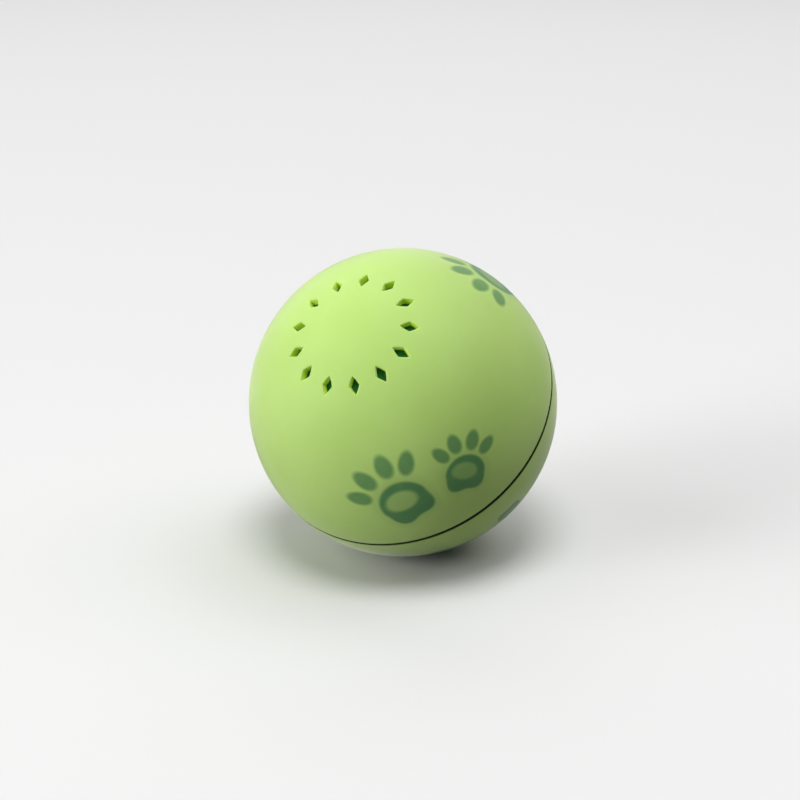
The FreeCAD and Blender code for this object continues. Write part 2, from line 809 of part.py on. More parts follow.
def toothed_outline(teeth, first_tooth):
    """The closed outline of a wheel whose first tooth points along an angle in radians."""
    module = value("sizes.gear_module")
    pitch = module * teeth / 2
    base = pitch * math.cos(math.radians(20))
    tip = pitch + module * 0.95
    root = pitch - module * 1.2
    pressure_roll = math.tan(math.radians(20)) - math.radians(20)
    half_tooth = (math.pi / 2 - value("sizes.gear_backlash") / module / 2) / teeth
    start = max(base, root + 0.02)
    edges = []
    for index in range(teeth):
        middle = first_tooth + 2 * math.pi * index / teeth
        flanks = []
        for hand in (1, -1):
            turn = middle - hand * (half_tooth + pressure_roll)
            stops = [start, (start + tip) / 2, tip]
            flanks.append([involute_point(base, stop, turn, hand) for stop in stops])
        rise, fall = flanks[0], flanks[1][::-1]
        foot_in = rise[0].normalize() * root
        rise[0] = involute_point(base, start, middle - half_tooth - pressure_roll, 1)
        foot_out = Vector(fall[2]).normalize() * root
        edges.append(Part.LineSegment(foot_in, rise[0]).toShape())
        edges.append(Part.Arc(*rise).toShape())
        crown = Vector(math.cos(middle), math.sin(middle), 0) * tip
        edges.append(Part.Arc(rise[2], crown, fall[0]).toShape())
        edges.append(Part.Arc(*fall).toShape())
        edges.append(Part.LineSegment(fall[2], foot_out).toShape())
        gap = middle + math.pi / teeth
        valley = Vector(math.cos(gap), math.sin(gap), 0) * root
        following = first_tooth + 2 * math.pi * (index + 1) / teeth
        turn = following - half_tooth - pressure_roll
        next_foot = involute_point(base, start, turn, 1).normalize() * root
        edges.append(Part.Arc(foot_out, valley, next_foot).toShape())
    return Part.Wire(edges)


def toothed_wheel(teeth, first_tooth, bottom, width):
    """A solid spur wheel about the Z axis."""
    face = Part.Face(toothed_outline(teeth, first_tooth))
    face.translate(Vector(0, 0, bottom))
    return face.extrude(Vector(0, 0, width))


def drum(radius, bottom, top):
    return Part.makeCylinder(radius, top - bottom, Vector(0, 0, bottom))


def angle_between(start, end):
    return math.atan2(end.y - start.y, end.x - start.x)


def meshed(driver_teeth, driver_first, teeth, line):
    """The first-tooth angle that puts a wheel in mesh with its driver along a line's angle."""
    driver_phase = (driver_first - line) * driver_teeth / (2 * math.pi)
    return line + math.pi + (0.5 - driver_phase) * 2 * math.pi / teeth


def plan_point(place):
    x, y = polar(place)
    return Vector(value(x), value(y), 0)


def gear_places():
    """Centres of the motor, the first wheel and the second wheel."""
    module = value("sizes.gear_module")
    pinion, wheel = value("sizes.pinion_teeth"), value("sizes.wheel_teeth")
    output = value("sizes.output_teeth")
    motor = plan_point(motor_place)
    last_centre = module * (output + pinion) / 2
    second = plan_point((str(last_centre), "sizes.second_wheel_angle"))
    reach = module * (wheel + pinion) / 2
    chord = motor - second
    middle = (motor + second) * 0.5
    outward = Vector(chord.y, -chord.x, 0).normalize()
    first = middle + outward * math.sqrt(reach**2 - (chord.Length / 2) ** 2)
    return motor, first, second


def lightened(wheel, radius, bottom, top, count):
    """A wheel with round windows in its web."""
    for index in range(count):
        angle = 2 * math.pi * index / count
        centre = Vector(math.cos(angle), math.sin(angle), 0) * radius
        window = Part.makeCylinder(radius * 0.3, top - bottom + 2, centre + Vector(0, 0, bottom - 1))
        wheel = wheel.cut(window)
    return wheel


def make_gears():
    pinion, wheel = int(value("sizes.pinion_teeth")), int(value("sizes.wheel_teeth"))
    output = int(value("sizes.output_teeth"))
    motor, first, second = gear_places()
    bore = value("sizes.gear_pin_radius + sizes.running_play")
    width = value("sizes.gear_width")
    low_c, low_b, low_a = value(layer_c), value(layer_b), value(layer_a)
    high_c, high_b, high_a = value(layer_c_top), value(layer_b_top), value(layer_a_top)
    deck, bridge = value(deck_top), value(bridge_bottom)
    slack = value("sizes.gear_slack")
    hub = value("sizes.gear_hub_radius")
    web = value("sizes.gear_module") * 0.31

    line = angle_between(motor, first)
    motor_first = line
    wheel_one_first = meshed(pinion, motor_first, wheel, line)
    line = angle_between(first, second)
    wheel_two_first = meshed(pinion, line, wheel, line)
    pinion_one_first = line
    line = angle_between(second, Vector())
    pinion_two_first = line
    output_first = meshed(pinion, pinion_two_first, output, line)

    shaft = value("sizes.motor_shaft_radius")
    motor_pinion = toothed_wheel(pinion, motor_first, low_c, width)
    motor_pinion = motor_pinion.cut(drum(shaft, low_c - 1, high_c + 1))
    set_shape("motor_pinion", motor_pinion, motor)
    tail = value(f"{motor_bottom} - sizes.motor_tail - sizes.gear_gap")
    set_shape("motor_shaft", drum(shaft, tail, high_c + slack), motor)

    gear_one = toothed_wheel(wheel, wheel_one_first, low_c, width)
    gear_one = lightened(gear_one, wheel * web, low_c, high_c, 5)
    gear_one = gear_one.fuse(
        [
            drum(hub, deck + slack, low_c),
            toothed_wheel(pinion, pinion_one_first, high_c, high_b - high_c),
            drum(hub, high_b, bridge - slack),
        ]
    )
    gear_one = gear_one.cut(drum(bore, deck - 1, bridge + 1)).removeSplitter()
    set_shape("gear_one", gear_one, first)

    gear_two = toothed_wheel(wheel, wheel_two_first, low_b, width)
    gear_two = lightened(gear_two, wheel * web, low_b, high_b, 5)
    gear_two = gear_two.fuse(
        [
            drum(hub, deck + slack, low_b),
            toothed_wheel(pinion, pinion_two_first, high_b, high_a - high_b),
            drum(hub, high_a, bridge - slack),
        ]
    )
    gear_two = gear_two.cut(drum(bore, deck - 1, bridge + 1)).removeSplitter()
    set_shape("gear_two", gear_two, second)

    output_gear = toothed_wheel(output, output_first, low_a, value("sizes.output_width"))
    output_gear = lightened(output_gear, output * web, low_a, high_a, 6)
    key = Part.Face(Part.Wire(Part.__sortEdges__(flat_round(value(keyed_bore)))))
    key = key.extrude(Vector(0, 0, high_a - low_a + 2))
    key.translate(Vector(0, 0, low_a - 1))
    set_shape("output_gear", output_gear.cut(key))

    pins = []
    radius = value("sizes.gear_pin_radius")
    for centre in (first, second):
        pin = drum(radius, value(deck_bottom), value(bridge_top))
        pin.translate(centre)
        pins.append(pin)
    set_shape("gear_pins", Part.makeCompound(pins))


def flat_round(radius):
    """The axle's keyed section as edges: a circle with one flat."""
    flat = value("sizes.axle_flat")
    height = math.sqrt(radius**2 - flat**2)
    upper, lower = Vector(flat, height, 0), Vector(flat, -height, 0)
    return [
        Part.Arc(upper, Vector(-radius, 0, 0), lower).toShape(),
        Part.LineSegment(lower, upper).toShape(),
    ]


# Pod frame: deck, battery bays, floor posts, bridge pillars and the rails for the weight
def bay_block(half, middle="sizes.cell_orbit"):
    """The bean-shaped outline round the three cells."""
    spread = "sizes.cell_spread"
    start, end = f"(-90 - {spread})", f"(-90 + {spread})"
    near, far = f"({middle} - {half})", f"({middle} + {half})"

    def cap(angle, hand):
        x, y = polar((middle, angle))
        return (
            f"{x} - {hand} * ({half}) * sin({angle})",
            f"{y} + {hand} * ({half}) * cos({angle})",
        )

    return [
        (*polar((far, start)), far, 1),
        (*polar((far, "-90")), far, 1),
        (*polar((far, end)), half, 1),
        (*cap(end, 1), half, 1),
        (*polar((near, end)), near, -1),
        (*polar((near, "-90")), near, -1),
        (*polar((near, start)), half, 1),
        (*cap(start, -1), half, 1),
    ]


def segment(radius, chord):
    """A disc cut straight across at a height in Y."""
    x = f"sqrt(({radius})^2 - ({chord})^2)"
    return [
        (f"-{x}", chord),
        (x, chord, radius, 1),
        ("0", radius, radius, 1),
    ]


def sector(near, far, half_sweep):
    """An arc-shaped plate on the heavy side."""
    start, end = f"(-90 - {half_sweep})", f"(-90 + {half_sweep})"
    return [
        (*polar((far, start)), far, 1),
        (*polar((far, end)),),
        (*polar((near, end)), near, -1),
        (*polar((near, start)),),
    ]


def make_pod_frame():
    frame = sub_part("pod_frame")
    skirt = [disc(deck_radius), disc(f"{deck_radius} - sizes.skirt_wall")]
    slab(frame, [disc(deck_radius)], deck_bottom, deck_top)
    slab(frame, skirt, f"{deck_bottom} - sizes.skirt_depth", deck_bottom)
    slab(frame, [bay_block(bay_half)], floor_top, bay_top)
    slab(frame, circles(posts, "sizes.post_radius"), floor_top, deck_bottom)
    slab(frame, circles(pillars, "sizes.pillar_radius"), deck_top, bridge_bottom)
    door_boss = [circle(door_screw_place, "sizes.door_boss_radius")]
    slab(frame, door_boss, f"{bridge_top} + sizes.gear_gap", bay_top)
    half_sweep = "sizes.ballast_sweep / 2 - sizes.rail_end"
    rail = sector(f"{bay_far} - sizes.rail_sink", f"{bay_far} + sizes.rail_reach", half_sweep)
    slab(frame, [rail], f"{ballast_low} - sizes.rail_thickness", ballast_low)
    slab(frame, [rail], ballast_high, f"{ballast_high} + sizes.rail_thickness")
    cut(frame, circles(cells, "sizes.cell_radius + sizes.cell_play"), floor_top, bay_top)
    motor, first, second = (plan_names(point) for point in gear_places())
    openings = [disc("sizes.bush_radius - sizes.bush_lead")]
    openings.append(("circle", *motor, "sizes.motor_boss_radius + sizes.screw_play"))
    for point in (first, second):
        openings.append(("circle", *point, "sizes.gear_pin_radius"))
    openings += circles(motor_screws(), pilot_hole)
    openings.append(circle(("sizes.lead_hole_orbit", "165"), "sizes.lead_hole_radius"))
    for opening in openings:
        cut(frame, [opening], deck_bottom, deck_top)
    depth = "(sizes.screw_length - sizes.bridge_thickness + sizes.screw_play)"
    cut(frame, circles(pillars, pilot_hole), f"{bridge_bottom} - {depth}", bridge_bottom)
    cut(frame, [circle(door_screw_place, pilot_hole)], f"{bay_top} - {depth}", bay_top)
    cut(frame, circles(posts, pilot_hole), floor_top, f"{floor_top} + {depth}")


def plan_names(point):
    return str(point.x), str(point.y)


def motor_screws():
    """The two screws beside the motor's shaft, square to the line to the first wheel."""
    motor, first, second = gear_places()
    along = angle_between(motor, first) + math.pi / 2
    spacing = value("sizes.motor_screw_spacing")
    places = []
    for hand in (1, -1):
        x = motor.x + hand * spacing * math.cos(along)
        y = motor.y + hand * spacing * math.sin(along)
        places.append((str(math.hypot(x, y)), str(math.degrees(math.atan2(y, x)))))
    return places


def make_pod_floor():
    floor = sub_part("pod_floor")
    boss = [disc("sizes.bridge_boss_radius")]
    windows = [("sizes.floor_window_orbit", angle) for angle in ("-8", "45", "195")]
    slab(floor, [disc(floor_radius)], floor_bottom, floor_top)
    slab(floor, boss, floor_boss_bottom, floor_boss_top)
    cut(floor, [disc("sizes.bush_radius")], floor_boss_bottom, floor_boss_top)
    cut(floor, circles(posts, screw_hole), floor_bottom, floor_top)
    cut(floor, circles(windows, "sizes.floor_window_radius"), floor_bottom, floor_top)
    screws("floor_screws", posts, floor_bottom, upward=True)


def make_bushes():
    body, rim, bore = disc("sizes.bush_radius"), disc("sizes.bush_rim_radius"), disc(bush_bore)
    low = sub_part("lower_bush")
    slab(low, [rim], low_bush_bottom, floor_boss_bottom)
    slab(low, [body], floor_boss_bottom, floor_boss_top)
    cut(low, [bore], low_bush_bottom, floor_boss_top)
    high = sub_part("upper_bush")
    foot = f"({bridge_bottom} - sizes.bush_lead)"
    slab(high, [body], foot, bridge_boss_top)
    slab(high, [rim], bridge_boss_top, high_bush_top)
    cut(high, [bore], foot, high_bush_top)


def make_bridge():
    bridge = sub_part("gear_bridge")
    motor, first, second = (plan_names(point) for point in gear_places())
    plate = segment("sizes.bridge_radius", "-sizes.bridge_chord")
    slab(bridge, [plate], bridge_bottom, bridge_top)
    slab(bridge, [disc("sizes.bridge_boss_radius")], bridge_top, bridge_boss_top)
    slab(bridge, circles(standoffs, "sizes.standoff_radius"), bridge_top, board_bottom)
    cut(bridge, [disc("sizes.bush_radius")], bridge_bottom, bridge_boss_top)
    pin_holes = [("circle", *point, "sizes.gear_pin_radius") for point in (first, second)]
    cut(bridge, pin_holes, bridge_bottom, bridge_top)
    cut(bridge, circles(pillars, screw_hole), bridge_bottom, bridge_top)
    cut(bridge, circles(standoffs, pilot_hole), bridge_bottom, board_bottom)
    lead_window = circle(("sizes.lead_window_orbit", "100"), "sizes.lead_window_radius")
    windows = [("circle", *motor, "sizes.motor_window_radius"), lead_window]
    cut(bridge, windows, bridge_bottom, bridge_top)
    screws("bridge_screws", pillars, bridge_top)


# Motor: a flat-sided can with a plastic end cap, hung under the deck
def motor_section(radius):
    """A round section with two flats, which face the axle."""
    flat = "(sizes.motor_flats / 2)"
    reach = f"sqrt(({radius})^2 - {flat}^2)"
    middle_x, middle_y = polar(motor_place)
    turn = "sizes.motor_angle"

    def corner(along, across):
        x = f"{middle_x} + ({along}) * cos({turn}) - ({across}) * sin({turn})"
        y = f"{middle_y} + ({along}) * sin({turn}) + ({across}) * cos({turn})"
        return x, y

    return [
        (*corner(flat, f"-{reach}"),),
        (*corner(flat, reach), radius, 1),
        (*corner(f"-{flat}", reach),),
        (*corner(f"-{flat}", f"-{reach}"), radius, 1),
    ]


def make_motor():
    can = sub_part("motor_can")
    cap_top = f"({motor_bottom} + sizes.motor_cap)"
    boss_top = f"({deck_bottom} + sizes.motor_boss)"
    tail = f"({motor_bottom} - sizes.motor_tail)"
    boss = [circle(motor_place, "sizes.motor_boss_radius")]
    bore = [circle(motor_place, "sizes.motor_shaft_radius + sizes.running_play")]
    screw_end = f"{deck_bottom} - sizes.motor_screw_depth - sizes.gear_gap"
    slab(can, [motor_section("sizes.motor_radius")], cap_top, deck_bottom)
    slab(can, boss, deck_bottom, boss_top)
    cut(can, bore, cap_top, boss_top)
    cut(can, circles(motor_screws(), pilot_hole), screw_end, deck_bottom)
    cap = sub_part("motor_end_cap")
    slab(cap, [motor_section("sizes.motor_radius - sizes.motor_cap_step")], motor_bottom, cap_top)
    slab(cap, boss, tail, motor_bottom)
    cut(cap, bore, tail, cap_top)
    terminals = sub_part("motor_terminals")
    x, y = polar(motor_place)
    turn = "sizes.motor_angle"
    places = []
    for hand in (1, -1):
        across = f"({hand} * sizes.terminal_spacing)"
        middle = f"{x} - {across} * sin({turn})", f"{y} + {across} * cos({turn})"
        blade = "sizes.terminal_half_width", "sizes.terminal_half_thickness"
        places.append(turned_box(*middle, turn, *blade))
    slab(terminals, places, terminal_bottom, motor_bottom)
    length = "(sizes.deck_thickness + sizes.motor_screw_depth)"
    screws("motor_screws", motor_screws(), deck_top, length)


def turned_box(x, y, turn, half_along, half_across):
    """A rectangle about a place, turned in plan."""
    corners = []
    for along, across in ((1, -1), (1, 1), (-1, 1), (-1, -1)):
        dx = f"{along} * ({half_along}) * cos({turn}) - {across} * ({half_across}) * sin({turn})"
        dy = f"{along} * ({half_along}) * sin({turn}) + {across} * ({half_across}) * cos({turn})"
        corners.append((f"{x} + {dx}", f"{y} + {dy}"))
    return corners


# Cells stand on their springs, turn about: the middle one the other way up
def make_cells():
    battery = sub_part("battery_cells")
    springs = sub_part("battery_springs")
    nub = "sizes.cell_nub"
    for place, up in zip(cells, (True, False, True)):
        low = f"({floor_top} + sizes.contact_thickness"
        low += " + sizes.spring_height)" if up else ")"
        high = f"({low} + sizes.cell_length)"
        body_low, body_high = (low, f"{high} - {nub}") if up else (f"{low} + {nub}", high)
        slab(battery, [circle(place, "sizes.cell_radius")], body_low, body_high)
        nub_low, nub_high = (body_high, high) if up else (low, body_low)
        slab(battery, [circle(place, "sizes.cell_nub_radius")], nub_low, nub_high)
        leaf_spring(springs, place, up)
    plates = circles(cells, "sizes.cell_radius - sizes.cell_play")
    low = sub_part("lower_contacts")
    slab(low, plates, floor_top, f"{floor_top} + sizes.contact_thickness")
    high = sub_part("upper_contacts")
    slab(high, plates, f"{bay_top} - sizes.contact_thickness", bay_top)


def leaf_spring(body, place, up):
    """A bent strip between a cell's flat end and its contact, pressed to the spring height."""
    x, y = polar(place)
    sketch = sketch_on(body, "XZ_Plane", f"-({y} + sizes.spring_width / 2)")
    rise, half_span = "sizes.spring_height", "sizes.spring_half_span"
    arch = f"(({half_span}^2 + {rise}^2) / (2 * {rise}))"
    inner_arch = f"({arch} - sizes.spring_strip)"
    foot = f"sqrt({inner_arch}^2 - ({arch} - {rise})^2)"
    if up:
        seat, side = f"({floor_top} + sizes.contact_thickness)", -1
    else:
        seat, side = f"({bay_top} - sizes.contact_thickness)", 1
    draw_loop(
        sketch,
        [
            (f"{x} - {half_span}", seat, arch, side),
            (f"{x} + {half_span}", seat),
            (f"{x} + {foot}", seat, inner_arch, -side),
            (f"{x} - {foot}", seat),
        ],
    )
    leaf = body.newObject("PartDesign::Pad", f"{body.Name}_leaf")
    leaf.Profile = sketch
    leaf.setExpression("Length", "sizes.spring_width")


def make_door():
    door = sub_part("battery_door")
    top = f"({bay_top} + sizes.door_thickness)"
    slab(door, [bay_block(bay_half)], bay_top, top)
    slab(door, [circle(door_screw_place, "sizes.door_boss_radius")], bay_top, top)
    cut(door, [circle(door_screw_place, screw_hole)], bay_top, top)
    screws("door_screw", [door_screw_place], top)


# Weight: a steel arc outside the battery bays, with a round back that follows the shell
def make_ballast():
    weight = sub_part("ballast_weight")
    near = f"({bay_far} + sizes.cell_play)"
    shoulder = f"({ballast_high} - sizes.ballast_bevel)"
    turned(
        weight,
        [
            (f"-{near}", ballast_high),
            (f"-{on_sphere(ballast_outer, ballast_high)} + sizes.ballast_bevel", ballast_high),
            (f"-{on_sphere(ballast_outer, shoulder)}", shoulder, ballast_outer, 1),
            (f"-{on_sphere(ballast_outer, ballast_low)}", ballast_low),
            (f"-{near}", ballast_low),
        ],
        plane="YZ_Plane",
        sweep="sizes.ballast_sweep",
    )


# Circuit board, with its parts standing on it
def make_board():
    board = sub_part("circuit_board")
    slab(board, [segment("sizes.board_radius", "-sizes.board_chord")], board_bottom, board_top)
    cut(board, [disc("sizes.board_hole")], board_bottom, board_top)
    cut(board, circles(standoffs, screw_hole), board_bottom, board_top)
    screws("board_screws", standoffs, board_top)

    speaker = sub_part("speaker_frame")
    place = ("sizes.speaker_orbit", "95")
    speaker_top = f"({board_top} + sizes.speaker_height)"
    well = f"({speaker_top} - sizes.speaker_well)"
    edge_top = f"({well} + sizes.cone_edge)"
    slab(speaker, [circle(place, "sizes.speaker_radius")], board_top, speaker_top)
    cut(speaker, [circle(place, "sizes.speaker_radius - sizes.speaker_rim")], well, speaker_top)
    cone = sub_part("speaker_cone")
    cone_radius = "sizes.speaker_radius - sizes.speaker_rim - sizes.cone_play"
    slab(cone, [circle(place, cone_radius)], well, edge_top)
    slab(cone, [circle(place, "sizes.cone_dome_radius")], edge_top, f"{edge_top} + sizes.cone_dome")

    chip = sub_part("control_chip")
    turn = "80"
    x, y = polar(("sizes.chip_orbit", "172"))
    chip_bottom = f"({board_top} + sizes.chip_lift)"
    package = turned_box(x, y, turn, "sizes.chip_half_length", "sizes.chip_half_width")
    slab(chip, [package], chip_bottom, f"{chip_bottom} + sizes.chip_thickness")
    reach = "sizes.chip_half_width + sizes.leg_reach"
    legs = []
    for step in (-1.5, -0.5, 0.5, 1.5):
        along = f"({step} * sizes.leg_pitch)"
        middle = f"{x} + {along} * cos({turn})", f"{y} + {along} * sin({turn})"
        legs.append(turned_box(*middle, turn, "sizes.leg_half_width", reach))
    slab(chip, legs, board_top, f"{board_top} + sizes.leg_height")

    capacitor = sub_part("capacitor")
    can = [circle(("sizes.capacitor_orbit", "36"), "sizes.capacitor_radius")]
    slab(capacitor, can, board_top, f"{board_top} + sizes.capacitor_height")

    sensor = sub_part("shake_sensor")
    can = [circle(("sizes.sensor_orbit", "136"), "sizes.sensor_radius")]
    slab(sensor, can, board_top, f"{board_top} + sizes.sensor_height")

    housing = sub_part("switch_housing")
    turn = "94"
    x, y = polar(("sizes.switch_orbit", "4"))
    switch_top = f"({board_top} + sizes.switch_height)"
    switch_floor = f"({board_top} + sizes.switch_floor)"
    case = turned_box(x, y, turn, "sizes.switch_half_length", "sizes.switch_half_width")
    slot_half_length = "sizes.slider_half_length + sizes.switch_travel / 2 + sizes.switch_play"
    slot_half_width = "sizes.switch_half_width - sizes.switch_wall"
    slab(housing, [case], board_top, switch_top)
    cut(housing, [turned_box(x, y, turn, slot_half_length, slot_half_width)], switch_floor, switch_top)
    slider = sub_part("switch_slider")
    shift = "(sizes.switch_travel / 2)"
    start = f"{x} - {shift} * cos({turn})", f"{y} - {shift} * sin({turn})"
    knob = turned_box(*start, turn, "sizes.slider_half_length", f"{slot_half_width} - sizes.slider_lift")
    slab(slider, [knob], f"{switch_floor} + sizes.slider_lift", f"{switch_top} + sizes.slider_top")


make_base_shell()
make_grille_shell()
make_seam_seal()
make_drive()
make_gears()
make_pod_frame()
make_pod_floor()
make_bushes()
make_bridge()
make_motor()
make_cells()
make_door()
make_ballast()
make_board()


def check_and_write():
    """Stops on any failed feature or bad shape, then writes one file for each sub-part."""
    document.recompute()
    for item in document.Objects:
        if {"Invalid", "Error"} & set(item.State):
            raise RuntimeError(f"{item.Name} failed: {item.State}")
    os.makedirs("parts", exist_ok=True)
    for item in document.Objects:
        is_part = item.TypeId == "PartDesign::Body" or (
            item.TypeId.startswith("Part::") and not item.InList
        )
        if not is_part:
            continue
        shape = item.Shape
        if shape.isNull() or not shape.isValid():
            raise RuntimeError(f"{item.Label} has no valid shape")
        shape.exportStep(f"parts/{item.Label}.step")
        print(item.Label, len(shape.Solids), round(shape.Volume, 1))


check_and_write()
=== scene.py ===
import json
import math

import bmesh
import bpy
import numpy as np
from mathutils import Matrix, Vector


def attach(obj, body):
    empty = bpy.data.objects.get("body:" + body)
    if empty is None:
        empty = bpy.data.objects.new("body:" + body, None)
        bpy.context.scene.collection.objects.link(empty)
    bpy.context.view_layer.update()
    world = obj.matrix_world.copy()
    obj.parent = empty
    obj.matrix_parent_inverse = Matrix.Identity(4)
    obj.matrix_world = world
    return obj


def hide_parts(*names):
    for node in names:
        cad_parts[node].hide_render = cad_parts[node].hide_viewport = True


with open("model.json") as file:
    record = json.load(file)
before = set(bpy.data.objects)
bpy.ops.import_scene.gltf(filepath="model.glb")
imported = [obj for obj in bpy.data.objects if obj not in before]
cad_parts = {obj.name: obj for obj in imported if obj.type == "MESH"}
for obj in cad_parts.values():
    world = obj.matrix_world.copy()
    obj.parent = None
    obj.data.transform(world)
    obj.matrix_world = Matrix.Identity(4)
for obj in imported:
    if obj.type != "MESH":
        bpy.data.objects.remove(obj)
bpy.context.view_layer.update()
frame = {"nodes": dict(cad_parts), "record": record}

# Self-rolling cat ball. Shapes are worked out in millimetres about the axle (z up the axle),
# then laid over by the axle's tilt and written in metres.
ball = {
    "radius": 40.0,
    "wall": 2.0,
    "axleTilt": 45.0,
    "mergeWithin": 2e-6,
    "halfGap": 0.35,
    "seamRound": 0.5,
    "columns": 156,
    "lugs": 4,
    "lugLead": 30.0,
    "lugSink": 0.3,
    "lugFootHalf": 0.75,
    "lugCrestHalf": 0.4,
}


def laidOver(points):
    # (x, y, z) -> (x, y cos t - z sin t, y sin t + z cos t) / 1000
    tilt = math.radians(ball["axleTilt"])
    c, s = math.cos(tilt), math.sin(tilt)
    x, y, z = np.moveaxis(np.asarray(points, float), -1, 0)
    return np.stack([x, y * c - z * s, y * s + z * c], -1) / 1000


# Camera and stage, set for an 800 x 800 picture
view = {
    "azimuth": 27.87,
    "elevation": 20.0,
    "distance": 0.428,
    "lens": 74.0,
    "sensor": 36.0,
    "nearest": 0.01,
    "shiftX": -0.00375,
    "shiftY": 0.00275,
}


def setCamera():
    # back = (sin a cos e, -cos a cos e, sin e); the camera looks along -back at the ball's centre
    azimuth, elevation = math.radians(view["azimuth"]), math.radians(view["elevation"])
    level = math.cos(elevation)
    back = Vector((math.sin(azimuth) * level, -math.cos(azimuth) * level, math.sin(elevation)))
    data = bpy.data.cameras.new("camera")
    data.lens = view["lens"]
    data.sensor_width = view["sensor"]
    data.shift_x, data.shift_y = view["shiftX"], view["shiftY"]
    data.clip_start = view["nearest"]
    camera = bpy.data.objects.new("camera", data)
    camera.location = back * view["distance"]
    camera.rotation_euler = back.to_track_quat("Z", "Y").to_euler()
    bpy.context.collection.objects.link(camera)
    bpy.context.scene.camera = camera
    right = Vector((math.cos(azimuth), math.sin(azimuth), 0))
    return back, right, back.cross(right)


towardsCamera, cameraRight, cameraUp = setCamera()
bpy.context.scene.view_settings.view_transform = "Standard"
print("camera set")


# Shader maths: a Wire is a socket that can be used in plain arithmetic
class Wire:
    def __init__(self, tree, socket=None):
        self.tree = tree
        self.socket = socket

    def add(self, kind, settings=None, inputs=None, out=0):
        node = self.tree.nodes.new("ShaderNode" + kind)
        for name, setting in (settings or {}).items():
            setattr(node, name, setting)
        for key, source in (inputs or {}).items():
            if isinstance(source, Wire):
                self.tree.links.new(source.socket, node.inputs[key])
            else:
                node.inputs[key].default_value = source
        return Wire(self.tree, node.outputs[out])

    def maths(self, operation, *values):
        return self.add("Math", {"operation": operation}, dict(enumerate(values)))

    def vector(self, operation, *values, out=0):
        return self.add("VectorMath", {"operation": operation}, dict(enumerate(values)), out)

    def __add__(self, other):
        return self.maths("ADD", self, other)

    __radd__ = __add__

    def __sub__(self, other):
        return self.maths("SUBTRACT", self, other)

    def __rsub__(self, other):
        return self.maths("SUBTRACT", other, self)

    def __mul__(self, other):
        return self.maths("MULTIPLY", self, other)

    __rmul__ = __mul__

    def __truediv__(self, other):
        return self.maths("DIVIDE", self, other)

    def __rtruediv__(self, other):
        return self.maths("DIVIDE", other, self)

    def __gt__(self, other):
        return self.maths("GREATER_THAN", self, other)

    def __lt__(self, other):
        return self.maths("LESS_THAN", self, other)

    def __pow__(self, other):
        return self.maths("POWER", self, other)

    def __rpow__(self, other):
        return self.maths("POWER", other, self)

    def __abs__(self):
        return self.maths("ABSOLUTE", self)

    def root(self):
        return self.maths("SQRT", self)

    def sine(self):
        return self.maths("SINE", self)

    def floor(self):
        return self.maths("FLOOR", self)

    def atLeast(self, other):
        return self.maths("MAXIMUM", self, other)

    def atMost(self, other):
        return self.maths("MINIMUM", self, other)

    def parts(self):
        # the three numbers of a vector
        node = self.tree.nodes.new("ShaderNodeSeparateXYZ")
        self.tree.links.new(self.socket, node.inputs[0])
        return [Wire(self.tree, output) for output in node.outputs]

    def fade(self, low, high):
        # 0 below low, 1 above high, smooth between
        settings = {"interpolation_type": "SMOOTHSTEP"}
        inputs = {"Value": self, "From Min": low, "From Max": high}
        if low > high:
            inputs.update({"From Min": high, "From Max": low, "To Min": 1.0, "To Max": 0.0})
        return self.add("MapRange", settings, inputs)

    def noise(self, scale, detail=2.0, roughness=0.5):
        # noise on this vector, about 0.5
        inputs = {"Vector": self, "Scale": scale, "Detail": detail, "Roughness": roughness}
        return self.add("TexNoise", None, inputs)

    def blendColour(self, low, high):
        # this value takes the colour from low to high
        low, high = (c if isinstance(c, Wire) else (*c, 1.0) for c in (low, high))
        return self.add("Mix", {"data_type": "RGBA"}, {0: self, 6: low, 7: high}, out=2)

    def blendVector(self, low, high):
        # this value takes the vector from low to high
        return self.add("Mix", {"data_type": "VECTOR"}, {0: self, 4: low, 5: high}, out=1)

    def bump(self, distance, strength):
        inputs = {"Strength": strength, "Distance": distance, "Height": self}
        return self.add("Bump", None, inputs)


def srgb(red, green, blue):
    # a screen colour of 0 to 255 as linear light
    return tuple(
        c / 12.92 if c <= 0.04045 else ((c + 0.055) / 1.055) ** 2.4
        for c in (red / 255, green / 255, blue / 255)
    )


viewportGrey = (0.6, 0.6, 0.6, 1.0)


def newMaterial(name, **fixed):
    # a Principled material; fixed holds its constant sockets, with _ for a space
    material = bpy.data.materials.new(name)
    material.use_nodes = True
    shader = material.node_tree.nodes["Principled BSDF"]
    for socket, number in fixed.items():
        shader.inputs[socket.replace("_", " ")].default_value = number
    material.diffuse_color = viewportGrey
    place = Wire(material.node_tree).add("TexCoord", out=3)
    return material, place


def finishMaterial(material, **wires):
    shader = material.node_tree.nodes["Principled BSDF"]
    for socket, wire in wires.items():
        material.node_tree.links.new(wire.socket, shader.inputs[socket.replace("_", " ")])
    return material


def aboutAxle(place):
    # the coordinates about the axle, in mm: two across it, then the height along it
    tilt = math.radians(ball["axleTilt"])
    c, s = math.cos(tilt), math.sin(tilt)
    z = place.vector("DOT_PRODUCT", place, (0.0, -s, c), out=1) * 1000.0
    y = place.vector("DOT_PRODUCT", place, (0.0, c, s), out=1) * 1000.0
    x = place.parts()[0] * 1000.0
    return x, y, z


# Meshes: grids of points joined into one closed surface
def gridFaces(rows, columns, start):
    # quads (i, j), (i, j+1), (i+1, j+1), (i+1, j); the last column joins the first
    i, j = np.meshgrid(np.arange(rows - 1), np.arange(columns), indexing="ij")
    k = (j + 1) % columns
    below, above = i * columns, (i + 1) * columns
    return np.stack([below + j, below + k, above + k, above + j], -1).reshape(-1, 4) + start


